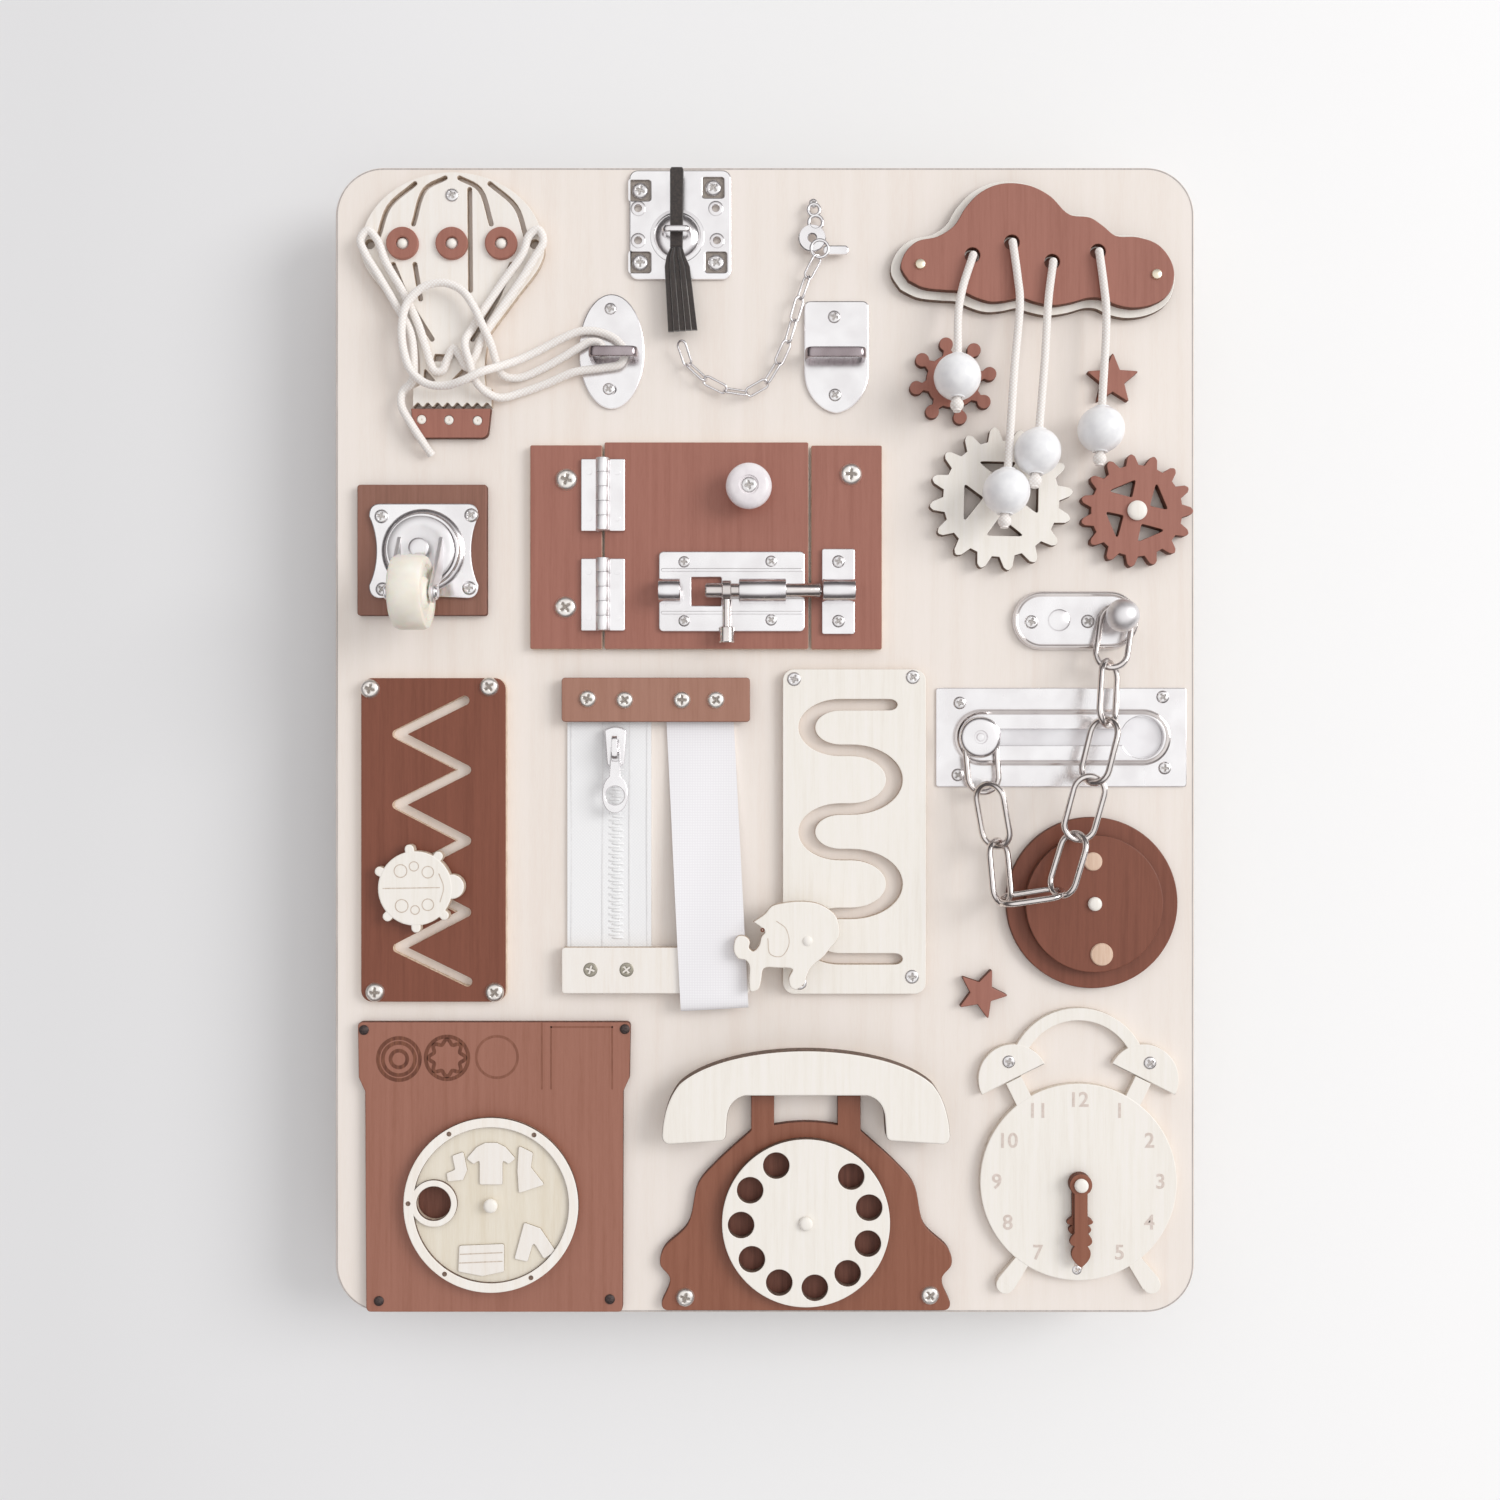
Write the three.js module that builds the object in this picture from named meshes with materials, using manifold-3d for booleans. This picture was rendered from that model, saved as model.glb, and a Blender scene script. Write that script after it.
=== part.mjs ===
// A busy board for a small child: a plywood board that hangs upright, with latches, wheels,
// slides, a zip, a lace, a clock and a telephone on its face. Sizes are in millimetres.
// Every piece sits in one group whose XY plane is the board's face: x to the right, y up, and z
// out of the board towards the child. The group then stands the board up, with its face to -Y.

import * as THREE from 'three';
import { mergeVertices } from 'three/addons/utils/BufferGeometryUtils.js';
import Module from 'manifold-3d';

const wasm = await Module();
wasm.setup();

// Driving dimensions
const BOARD = { width: 300, height: 400, thickness: 10, corner: 17 };
const PLY = 3;
const GAP = 0.3;
const LIFT = 0.5;
const SHEET = 1.25;
const CORD = 2.8;
const PIVOT = { radius: 1.3, bore: 1.6, headHeight: 1.2 };
const SPINNER_Z = LIFT;
const UPPER_Z = PLY + LIFT;

// Colours, as seen on the object
const birch = new THREE.MeshStandardMaterial({ color: '#ecdfcd', roughness: 0.6 });
const paleWood = new THREE.MeshStandardMaterial({ color: '#f3e9dc', roughness: 0.55 });
const stained = new THREE.MeshStandardMaterial({ color: '#9a5f4b', roughness: 0.6 });
const steel = new THREE.MeshStandardMaterial({ color: '#cfd2d6', roughness: 0.25, metalness: 1 });
const nylon = new THREE.MeshStandardMaterial({ color: '#f2f1ec', roughness: 0.5 });
const bead = new THREE.MeshStandardMaterial({ color: '#f6f7fa', roughness: 0.45 });
const cotton = new THREE.MeshStandardMaterial({ color: '#f5f2ee', roughness: 0.9 });
const suede = new THREE.MeshStandardMaterial({ color: '#2a2321', roughness: 0.85 });

const face = new THREE.Group();
face.rotation.x = Math.PI / 2;
face.position.y = -BOARD.thickness;

function addPiece(name, geometry, material, x, y, z = 0) {
  const mesh = new THREE.Mesh(geometry, material);
  mesh.name = name;
  mesh.position.set(x, y, z);
  face.add(mesh);
  return mesh;
}

// Joining and cutting
function toSolid(geometry) {
  const bare = geometry.clone();
  bare.deleteAttribute('normal');
  bare.deleteAttribute('uv');
  const merged = mergeVertices(bare, 1e-4);
  const mesh = new wasm.Mesh({
    numProp: 3,
    vertProperties: new Float32Array(merged.attributes.position.array),
    triVerts: new Uint32Array(merged.index.array),
  });
  return new wasm.Manifold(mesh);
}

function toGeometry(solid) {
  const mesh = solid.getMesh();
  const geometry = new THREE.BufferGeometry();
  geometry.setAttribute('position', new THREE.BufferAttribute(new Float32Array(mesh.vertProperties), 3));
  geometry.setIndex(new THREE.BufferAttribute(new Uint32Array(mesh.triVerts), 1));
  geometry.computeVertexNormals();
  return geometry;
}

function join(...geometries) {
  return toGeometry(geometries.map(toSolid).reduce((whole, next) => whole.add(next)));
}

function cut(geometry, ...cutters) {
  return toGeometry(cutters.map(toSolid).reduce((whole, next) => whole.subtract(next), toSolid(geometry)));
}

// Outlines and plates
function slab(shape, from, to, curveSegments = 8) {
  const geometry = new THREE.ExtrudeGeometry(shape, { depth: to - from, bevelEnabled: false, curveSegments });
  geometry.translate(0, 0, from);
  return geometry;
}

function roundedRect(width, height, radius) {
  const x = width / 2;
  const y = height / 2;
  const shape = new THREE.Shape();
  shape.moveTo(-x + radius, -y);
  shape.lineTo(x - radius, -y);
  shape.absarc(x - radius, -y + radius, radius, -Math.PI / 2, 0);
  shape.lineTo(x, y - radius);
  shape.absarc(x - radius, y - radius, radius, 0, Math.PI / 2);
  shape.lineTo(-x + radius, y);
  shape.absarc(-x + radius, y - radius, radius, Math.PI / 2, Math.PI);
  shape.lineTo(-x, -y + radius);
  shape.absarc(-x + radius, -y + radius, radius, Math.PI, Math.PI * 1.5);
  return shape;
}

function disc(radius, x = 0, y = 0) {
  const shape = new THREE.Shape();
  shape.absarc(x, y, radius, 0, Math.PI * 2);
  return shape;
}

function polygon(points) {
  return new THREE.Shape(points.map(([x, y]) => new THREE.Vector2(x, y)));
}

function drill(shape, holes, radius) {
  const sides = Math.min(28, 2 * Math.ceil(radius * 0.6 + 2.5));
  for (const [x, y] of holes) {
    const rim = [];
    for (let i = sides; i > 0; i -= 1) {
      const angle = i * 2 * Math.PI / sides;
      rim.push(new THREE.Vector2(x + radius * Math.cos(angle), y + radius * Math.sin(angle)));
    }
    shape.holes.push(new THREE.Path(rim));
  }
  return shape;
}

function rod(radius, from, to, halfSides = 5) {
  return slab(disc(radius), from, to, halfSides);
}

function moved(geometry, x, y, z = 0) {
  return geometry.translate(x, y, z);
}

function lathe(profile, segments = 24) {
  const geometry = new THREE.LatheGeometry(profile.map(([r, z]) => new THREE.Vector2(r, z)), segments);
  return geometry.rotateX(Math.PI / 2);
}

// A thin band that follows a curve, as an outline: a slot, a wire seen from above or a groove
function band(curve, width, steps) {
  const left = [];
  const right = [];
  for (let i = 0; i <= steps; i += 1) {
    const point = curve.getPoint(i / steps);
    const tangent = curve.getTangent(i / steps);
    left.push([point.x - tangent.y * width / 2, point.y + tangent.x * width / 2]);
    right.push([point.x + tangent.y * width / 2, point.y - tangent.x * width / 2]);
  }
  return [...left, ...right.reverse()];
}

function bandHole(shape, curve, width, steps) {
  const path = new THREE.Path(band(curve, width, steps).map(([x, y]) => new THREE.Vector2(x, y)));
  shape.holes.push(path);
}

// The outline of a slot that follows a line of points: round at its ends and outside its corners
function slotOutline(points, radius) {
  const side = (route) => {
    const rim = [];
    for (let i = 0; i < route.length; i += 1) {
      const [x, y] = route[i];
      const before = i > 0 ? Math.atan2(y - route[i - 1][1], x - route[i - 1][0]) : null;
      const after = i < route.length - 1 ? Math.atan2(route[i + 1][1] - y, route[i + 1][0] - x) : null;
      if (before === null) {
        rim.push([after, radius, x, y]);
        continue;
      }
      const turn = after === null ? Math.PI : Math.atan2(Math.sin(after - before), Math.cos(after - before));
      if (after !== null && turn < 0.5) {
        rim.push([before + turn / 2, radius / Math.cos(turn / 2), x, y]);
        continue;
      }
      const steps = Math.ceil(turn / 0.6);
      for (let k = 0; k <= steps; k += 1) {
        rim.push([before + turn * k / steps, radius, x, y]);
      }
    }
    return rim.map(([angle, reach, x, y]) => [x + reach * Math.sin(angle), y - reach * Math.cos(angle)]);
  };
  return polygon([...side(points), ...side([...points].reverse())]);
}

// A tube along a route of points, closed at both ends
function tube(points, diameter, steps, sides = 8) {
  const route = new THREE.CatmullRomCurve3(points.map((p) => new THREE.Vector3(...p)), false, 'centripetal');
  const section = new THREE.Shape();
  for (let i = 0; i < sides; i += 1) {
    const angle = (i + 0.5) * 2 * Math.PI / sides;
    const x = Math.cos(angle) * diameter / 2;
    const y = Math.sin(angle) * diameter / 2;
    if (i === 0) {
      section.moveTo(x, y);
    } else {
      section.lineTo(x, y);
    }
  }
  section.closePath();
  return new THREE.ExtrudeGeometry(section, { steps, extrudePath: route, curveSegments: 1 });
}

// Places that several pieces share
const PLACES = {
  gearLight: [81.7, 83.4],
  gearStained: [128.6, 79.3],
  sun: [65.2, 124.5],
  spinner: [113.5, -56.5],
  washerDisc: [-94.5, -160.4],
  dial: [14.1, -166.6],
  clock: [108.8, -153.4],
};
const DIAL_TOP = UPPER_Z + PLY;
const MINUTE_TOP = UPPER_Z + 1.5 + GAP + 1.5;
const PIVOT_TOPS = {
  gearLight: SPINNER_Z + 4,
  gearStained: SPINNER_Z + 4,
  sun: SPINNER_Z + PLY,
  spinner: DIAL_TOP,
  washerDisc: DIAL_TOP,
  dial: DIAL_TOP,
  clock: MINUTE_TOP,
};

const WIDE_HEAD = 3.4;
const SLIM_HEAD = 2.4;
const PIVOT_HEADS = {
  gearLight: WIDE_HEAD,
  gearStained: WIDE_HEAD,
  sun: WIDE_HEAD,
  spinner: SLIM_HEAD,
  washerDisc: SLIM_HEAD,
  dial: SLIM_HEAD,
  clock: SLIM_HEAD,
};

// The board, with the pivot bolts of the wheels and its two glued stars
const STARS = [
  { x: 120.7, y: 125, radius: 9.7, turn: Math.PI / 2 },
  { x: 75.3, y: -88, radius: 9.4, turn: 1.18 },
];

function starShape(radius, turn) {
  const points = [];
  for (let i = 0; i < 10; i += 1) {
    const r = i % 2 === 0 ? radius : radius * 0.44;
    const angle = turn + i * Math.PI / 5;
    points.push([r * Math.cos(angle), r * Math.sin(angle)]);
  }
  return polygon(points);
}

function pivotBolt(top, headRadius) {
  const { radius, headHeight } = PIVOT;
  const seat = top + GAP;
  return lathe([
    [0, -1],
    [radius, -1],
    [radius, seat],
    [headRadius, seat],
    [headRadius * 0.7, seat + headHeight],
    [0, seat + headHeight],
  ], 10);
}

function baseBoard() {
  const pieces = [slab(roundedRect(BOARD.width, BOARD.height, BOARD.corner), -BOARD.thickness, 0)];
  for (const star of STARS) {
    pieces.push(moved(slab(starShape(star.radius, star.turn), -1, PLY), star.x, star.y));
  }
  for (const [name, [x, y]] of Object.entries(PLACES)) {
    pieces.push(moved(pivotBolt(PIVOT_TOPS[name], PIVOT_HEADS[name]), x, y));
  }
  return join(...pieces);
}

addPiece('base_board', baseBoard(), birch, 0, 0);

// Hot-air balloon: envelope with gore slots and three rings, a scalloped skirt, and its basket
const BALLOON = { x: -108.5, y: 123, half: 32, wide: 47, top: 74, neck: 11.5, earX: 28.6, earRadius: 1.7 };
const GORES = [
  [[13, 70], [22, 62], [25.5, 52]],
  [[2.5, 72], [9.5, 68], [13.5, 56]],
  [[20.5, 42], [15, 29], [7, 16]],
];
const GORE_WIDTH = 1.6;
const RINGS = { x: [-17.1, 0, 17.1], y: 49, radius: 5.6, bore: 2.2 };
const NECK_WINDOWS = [
  [[-9.6, 6], [-5.6, 1.3], [-10.1, 1.7]],
  [[4, 6.2], [7.6, 1.1], [-0.6, 1.5]],
  [[-6, 10.9], [-1.8, 10.7], [-0.8, 8.5], [-6.8, 8.3]],
  [[1.9, 11], [4.3, 11.1], [4.5, 8.7], [1.7, 8.6]],
];
const SKIRT = { half: 13.7, drop: 7.4, scallop: 1.4, scallops: 8 };

function balloonPanel() {
  const { half, wide, top, neck, earX, earRadius } = BALLOON;
  const { half: skirt, drop, scallop, scallops } = SKIRT;
  const shape = new THREE.Shape();
  shape.moveTo(-neck, 0);
  shape.lineTo(-skirt, -1);
  shape.lineTo(-skirt, -drop);
  for (let i = 1; i < 2 * scallops; i += 1) {
    shape.lineTo(-skirt + i * skirt / scallops, -drop + (i % 2 === 1 ? scallop : 0));
  }
  shape.lineTo(skirt, -drop);
  shape.lineTo(skirt, -1);
  shape.lineTo(neck, 0);
  shape.quadraticCurveTo(neck - 1, 8, 13, 18);
  shape.lineTo(25, 34);
  shape.quadraticCurveTo(half, 42, half, wide);
  shape.absellipse(0, wide, half, top - wide, 0, Math.PI);
  shape.quadraticCurveTo(-half, 42, -25, 34);
  shape.lineTo(-13, 18);
  shape.quadraticCurveTo(-neck + 1, 8, -neck, 0);
  for (const side of [-1, 1]) {
    for (const gore of GORES) {
      const [start, middle, end] = gore.map(([x, y]) => new THREE.Vector2(side * x, y));
      bandHole(shape, new THREE.SplineCurve([start, middle, end]), GORE_WIDTH, 3);
    }
    drill(shape, [[side * earX, RINGS.y]], earRadius);
  }
  bandHole(shape, new THREE.LineCurve(new THREE.Vector2(-13, 42), new THREE.Vector2(-11, 30)), GORE_WIDTH, 1);
  bandHole(shape, new THREE.LineCurve(new THREE.Vector2(6, 68), new THREE.Vector2(6.3, 33)), GORE_WIDTH, 1);
  for (const corners of NECK_WINDOWS) {
    shape.holes.push(new THREE.Path(corners.map(([x, y]) => new THREE.Vector2(x, y))));
  }
  const rings = RINGS.x.map((x) => {
    const ring = drill(disc(RINGS.radius), [[0, 0]], RINGS.bore);
    return moved(slab(ring, PLY - 0.5, PLY + 1.5, 5), x, RINGS.y);
  });
  return join(slab(shape, 0, PLY, 5), ...rings);
}

addPiece('balloon_panel', balloonPanel(), birch, BALLOON.x, BALLOON.y);

function basketShape() {
  const shape = new THREE.Shape();
  shape.moveTo(-10.9, 0);
  shape.lineTo(10.9, 0);
  shape.quadraticCurveTo(12.8, 0.4, 13, 2.4);
  shape.lineTo(13.9, 10.2);
  shape.lineTo(-13.9, 10.2);
  shape.lineTo(-13, 2.4);
  shape.quadraticCurveTo(-12.8, 0.4, -10.9, 0);
  return drill(shape, [[-10.2, 6.4], [-0.7, 6.2], [9.2, 6]], 1.6);
}

addPiece('balloon_basket', slab(basketShape(), 0, PLY), stained, -109, 104.8);

// The lace: one cord from its loose tail through the neck, both ears, the basket and the staple
const LACE_ROUTE = [
  [-115.8, 99, 2], [-118.6, 103.4, 4.4], [-122.8, 110, 4.8], [-125.8, 115.8, 4.4], [-125.6, 120.6, 3.4],
  [-122, 124, 4.8], [-121.4, 131, 4.8], [-122.6, 141, 4.8], [-128, 151, 4.8], [-133.6, 160.5, 4.8],
  [-138.4, 168.5, 4.8], [-139.8, 173, 4.8], [-137.2, 176, 4.8], [-134.2, 173, 4.8], [-131, 165, 4.8],
  [-125, 154.5, 4.8], [-120, 144, 4.8], [-117.2, 135.5, 4.8], [-114.2, 127.6, 4.8], [-111.6, 127.6, 4.8],
  [-109.6, 132, 4.8], [-107.6, 135.4, 4.8], [-105.4, 132.4, 4.8], [-103, 128.6, 4.8],
  [-100.6, 132, 4.8], [-97.6, 139, 4.8], [-91.5, 148.5, 4.8], [-84.6, 158.5, 4.8], [-79.4, 167, 4.8],
  [-76.6, 172.5, 4.8], [-78.4, 176.4, 4.8], [-81.4, 174.5, 4.8], [-83.8, 168, 4.8], [-90.2, 159, 4.8],
  [-96.4, 149.8, 4.8], [-101.2, 142, 5.2], [-103.2, 136.5, 7.9], [-101.6, 130, 8], [-98.6, 122, 7.4],
  [-92.4, 118.6, 3.8], [-85, 120.6, 2], [-76, 123.8, 2], [-66, 127.6, 3.1], [-56.4, 129, 3.1],
  [-50.2, 130.4, 3.1], [-48.6, 134.4, 3.1], [-51.6, 138.8, 3.1], [-58, 141.6, 3.1], [-64.5, 141.6, 3.1],
  [-70.5, 139.2, 3], [-77.4, 135.6, 3], [-85, 131.6, 4.2], [-91.4, 128.4, 7.4], [-97, 125.6, 11],
  [-103, 122.8, 10.9], [-109.6, 121.4, 9], [-116.4, 122.4, 8], [-121.6, 126.8, 8], [-124.2, 134, 8],
  [-124.8, 142, 8], [-123, 149.8, 8], [-117.8, 155.2, 8], [-110.8, 157, 8], [-104.2, 154.4, 8],
  [-100, 148.6, 8.2], [-97.2, 142.6, 8.2], [-94.6, 136.6, 6], [-93.2, 131.2, 3.6], [-91, 126.6, 3],
  [-86, 125.8, 2], [-78, 128.8, 2], [-70.6, 132.6, 2.6], [-65, 135.8, 3.1], [-60.6, 138, 3.1],
  [-57, 137.4, 3.1], [-56.2, 133.6, 3.1],
];

addPiece('lacing_cord', tube(LACE_ROUTE, CORD, 84, 7), cotton, 0, 0);

// Two staple plates: thin pressed plates with a flat staple across the middle
function staple(width, band, height) {
  const outer = width / 2;
  const inner = outer - 1.6;
  const shape = new THREE.Shape();
  shape.moveTo(-outer, 0);
  shape.lineTo(-inner, 0);
  shape.lineTo(-inner, height - 3);
  shape.quadraticCurveTo(-inner, height - 1.6, -inner + 1.4, height - 1.6);
  shape.lineTo(inner - 1.4, height - 1.6);
  shape.quadraticCurveTo(inner, height - 1.6, inner, height - 3);
  shape.lineTo(inner, 0);
  shape.lineTo(outer, 0);
  shape.lineTo(outer, height - 3);
  shape.quadraticCurveTo(outer, height, outer - 3, height);
  shape.lineTo(-outer + 3, height);
  shape.quadraticCurveTo(-outer, height, -outer, height - 3);
  const geometry = slab(shape, -band / 2, band / 2, 2);
  return geometry.rotateX(Math.PI / 2);
}

function laceStaplePlate() {
  const shape = new THREE.Shape();
  shape.absellipse(0, 0, 11.5, 20, 0, Math.PI * 2);
  drill(shape, [[0, 14.8], [0, -13.2]], 1.6);
  return join(slab(shape, 0, SHEET, 7), moved(staple(17, 3.6, 8.5), 1, -1.6));
}

function shieldStaplePlate() {
  const shape = new THREE.Shape();
  shape.moveTo(-11.3, -6);
  shape.bezierCurveTo(-10.8, -13.5, -5.5, -19, 0, -19.6);
  shape.bezierCurveTo(5.5, -19, 10.8, -13.5, 11.3, -6);
  shape.lineTo(11.3, 17);
  shape.quadraticCurveTo(11.3, 19.5, 8.8, 19.5);
  shape.lineTo(-8.8, 19.5);
  shape.quadraticCurveTo(-11.3, 19.5, -11.3, 17);
  drill(shape, [[-0.6, 13.8], [-0.4, -13.3]], 1.6);
  return join(slab(shape, 0, SHEET, 5), moved(staple(21, 3.6, 8.5), -0.5, 0));
}

addPiece('lace_staple_plate', laceStaplePlate(), steel, -53.4, 135.3);
addPiece('shield_staple_plate', shieldStaplePlate(), steel, 24.9, 133.4);

// Square eye plate with a domed boss and an eye, and the suede strap threaded through the eye
function hookPlate() {
  const shape = roundedRect(35.5, 38, 3);
  drill(shape, [[-14, 12], [11.5, 13], [-14, -13], [12.5, -13]], 1.5);
  drill(shape, [[-14.6, 5.6], [12.4, 5.6], [-14.6, -5.6], [12.8, -5.6]], 2.3);
  const boss = lathe([[0, 0.5], [8, 0.5], [7.4, 2.2], [4.8, 3.2], [0, 3.2]], 14);
  const eye = moved(staple(10.4, 2.2, 9.6), 0, 0);
  return join(slab(shape, 0, SHEET, 4), moved(boss, -1, -4), moved(eye, -1, -4));
}

function tasselStrap() {
  const shape = new THREE.Shape();
  shape.moveTo(-3, -38.4);
  shape.lineTo(7.4, -37.6);
  shape.lineTo(4.6, -16);
  shape.quadraticCurveTo(3, -12.2, 2, -9);
  shape.lineTo(2.4, 17.5);
  shape.quadraticCurveTo(2.2, 18.4, 1.4, 18.5);
  shape.lineTo(-1.2, 18.5);
  shape.quadraticCurveTo(-2.2, 18.3, -2.3, 17.5);
  shape.lineTo(-2.2, -9);
  shape.quadraticCurveTo(-3.6, -12.2, -4.2, -16);
  return slab(shape, 4.25, 6.75, 4);
}

addPiece('hook_plate', hookPlate(), steel, -29.5, 179.4);
addPiece('tassel_strap', tasselStrap(), suede, -30.5, 179.2);

// Chains: each link is a wire loop with straight sides and a flat-topped crown at each end.
// Links meet crown to crown.
const CROWN = [-Math.PI / 2, -Math.PI / 6, Math.PI / 6, Math.PI / 2];

function link(length, width, wire, sides) {
  const radius = (width - wire) / 2;
  const straight = (length - wire) / 2 - radius * Math.cos(CROWN[2]);
  const ring = [];
  for (const end of [1, -1]) {
    for (const angle of CROWN) {
      ring.push([end * (straight + radius * Math.cos(angle)), end * radius * Math.sin(angle)]);
    }
  }
  const positions = [];
  const count = ring.length;
  for (let i = 0; i < count; i += 1) {
    const previous = ring[(i + count - 1) % count];
    const next = ring[(i + 1) % count];
    const run = Math.hypot(next[0] - previous[0], next[1] - previous[1]);
    const normal = [(next[1] - previous[1]) / run, -(next[0] - previous[0]) / run];
    for (let j = 0; j < sides; j += 1) {
      const angle = (j + 0.5) * 2 * Math.PI / sides;
      const out = Math.cos(angle) * wire / 2;
      positions.push(ring[i][0] + normal[0] * out, ring[i][1] + normal[1] * out, Math.sin(angle) * wire / 2);
    }
  }
  const index = [];
  for (let i = 0; i < count; i += 1) {
    for (let j = 0; j < sides; j += 1) {
      const a = i * sides + j;
      const b = i * sides + (j + 1) % sides;
      const c = ((i + 1) % count) * sides + j;
      const d = ((i + 1) % count) * sides + (j + 1) % sides;
      index.push(a, c, b, b, c, d);
    }
  }
  const geometry = new THREE.BufferGeometry();
  geometry.setAttribute('position', new THREE.Float32BufferAttribute(positions, 3));
  geometry.setIndex(index);
  return geometry;
}

// A link laid from one joint to the next; twist turns it about its length, 0 lies flat
function laidLink(from, to, twist, size) {
  const start = new THREE.Vector3(...from);
  const end = new THREE.Vector3(...to);
  const along = end.clone().sub(start);
  const length = along.length() + 2 * size.wire - 2 * size.bite;
  along.normalize();
  const across = new THREE.Vector3(0, 0, 1).cross(along).normalize();
  across.applyAxisAngle(along, twist);
  const up = along.clone().cross(across);
  const frame = new THREE.Matrix4().makeBasis(along, across, up);
  frame.setPosition(start.add(end).multiplyScalar(0.5));
  return link(length, size.width, size.wire, size.sides).applyMatrix4(frame);
}

const DOOR_LINK = { width: 12.8, wire: 2.2, bite: 0.3, sides: 6 };
const DOOR_CHAIN = [
  [122.3, 45.2, 3.9], [118.2, 25.8, 9], [115.8, 5.9, 14.2], [110.9, -13.6, 14.6], [105.7, -32.9, 13.4],
  [99.8, -51.8, 14.3], [80.9, -54.8, 12.4], [79.6, -35.5, 8.6], [75.9, -16.2, 9.6],
];
const DOOR_TWISTS = [0.25, -0.8, 0.8, -0.05, 0.9, 1.4, 0.8, -0.3];

function chain(joints, twists, size) {
  const links = twists.map((twist, i) => laidLink(joints[i], joints[i + 1], twist, size));
  return join(...links);
}

const SMALL_LINK = { width: 4, wire: 1, bite: 0.34, sides: 4 };
const SMALL_ROUTE = [
  [-29, 137.2, 5.5], [-28.2, 133.4, 3.6], [-25.6, 128.8, 2.9], [-20.8, 125, 2.9], [-15, 121.8, 2.9],
  [-8.4, 120.2, 2.9], [-2.4, 121.2, 2.9], [1.8, 125.8, 2.9], [5, 131.6, 2.9], [7.8, 138, 2.9],
  [9.8, 145, 2.9], [11.6, 151.4, 2.9], [13.6, 157.6, 2.9], [15.8, 163, 2.9], [18.4, 167.6, 2.9],
];
const SMALL_LINKS = 11;

function smallChain() {
  const route = new THREE.CatmullRomCurve3(SMALL_ROUTE.map((p) => new THREE.Vector3(...p)));
  const joints = route.getSpacedPoints(SMALL_LINKS).map((p) => p.toArray());
  const twists = joints.slice(1).map((_, i) => (i % 2 === 0 ? 0.5 : -0.9));
  const links = chain(joints, twists, SMALL_LINK);
  const ring = new THREE.TorusGeometry(3, 0.7, 4, 10);
  const washer = slab(drill(disc(4.8), [[0, 0]], 1.4), 1.4, 2.6, 6);
  const eyeRing = new THREE.TorusGeometry(2.4, 0.8, 4, 10);
  const screw = rod(1.3, 0, 3.4, 4);
  const clasp = slab(roundedRect(9, 3.4, 1.6), 1.8, 3.4, 3);
  return join(
    links,
    moved(ring, 19, 170.4, 2.9),
    moved(washer, 16.4, 174.2, 0.6),
    moved(eyeRing, 17.6, 179.6, 2.6),
    moved(new THREE.TorusGeometry(2, 0.8, 4, 10), 17, 184, 2.6),
    moved(screw, 16.8, 186.4),
    moved(clasp, 24.6, 170),
  );
}

addPiece('small_chain', smallChain(), steel, 0, 0);

// Cloud in two tiers, and four cords with a bead each hanging from it
const CLOUD = { x: 92, y: 164, rim: 2.2, shiftX: -1.1, shiftY: -0.5, holeRadius: 2.1 };
const CLOUD_HOLES = [[71.5, 166.6], [85.1, 171], [99, 164.3], [114.8, 167.8]];
const CLOUD_EDGE = [
  [49.5, 158.4], [54.5, 156], [61.6, 155.1], [68.2, 154.6], [72.3, 152.7], [77.7, 151.1], [83, 151.4],
  [88.4, 152.4], [93.1, 151], [99, 149.9], [105.6, 150.8], [111.5, 152.4], [116.3, 152.2], [121, 150.1],
  [127, 149], [134.1, 150.3], [139.2, 153.7], [141.2, 160.2], [139.8, 165.8], [135.5, 170.9],
  [128.7, 173.4], [121, 173.9], [116.5, 177.4], [112.1, 180.2], [106, 180.9], [103.6, 182.2], [98.5, 187.5],
  [91.9, 191], [85.2, 192.1], [79.5, 191.4], [73.8, 188.5], [69, 183.4], [65.2, 177.4], [59.3, 173.6],
  [52.7, 172.1], [48.6, 168.5], [46.8, 163.2],
];

function grownOutline(points, reach) {
  return points.map(([x, y], i) => {
    const [x0, y0] = points[(i + points.length - 1) % points.length];
    const [x1, y1] = points[(i + 1) % points.length];
    const run = Math.hypot(x1 - x0, y1 - y0);
    return [x + reach * (y1 - y0) / run, y - reach * (x1 - x0) / run];
  });
}

function cloud() {
  const { x, y, rim, shiftX, shiftY, holeRadius } = CLOUD;
  const base = moved(slab(polygon(grownOutline(CLOUD_EDGE, rim)), 0, PLY), shiftX, shiftY);
  const front = slab(drill(polygon(CLOUD_EDGE), CLOUD_HOLES, holeRadius), PLY - 0.5, 2 * PLY);
  return moved(join(base, front), -x, -y);
}

addPiece('cloud', cloud(), stained, CLOUD.x, CLOUD.y);

const BEAD = { radius: 8, bore: 1.9, knot: 2.4, knotOffset: 10.2, cordEnd: 12.5, straight: 10 };
const STRING_Z = 7.8;
const STRINGS = [
  { bead: [65.2, 123.2, 13.7], bends: [[68, 155.8, 7.8], [66.2, 146.6, 9.3]] },
  { bead: [81.6, 84, 15], bends: [[86.8, 158.7, 7.8], [87.4, 151, 8.6], [84.8, 126, 12.2]] },
  { bead: [92.4, 97.8, 13.4], bends: [[97.4, 152, 7.9], [95.6, 130, 10.2]] },
  { bead: [115.1, 106.4, 9], bends: [[116.5, 155.1, 7.8], [117.2, 147, 8]] },
];

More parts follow.
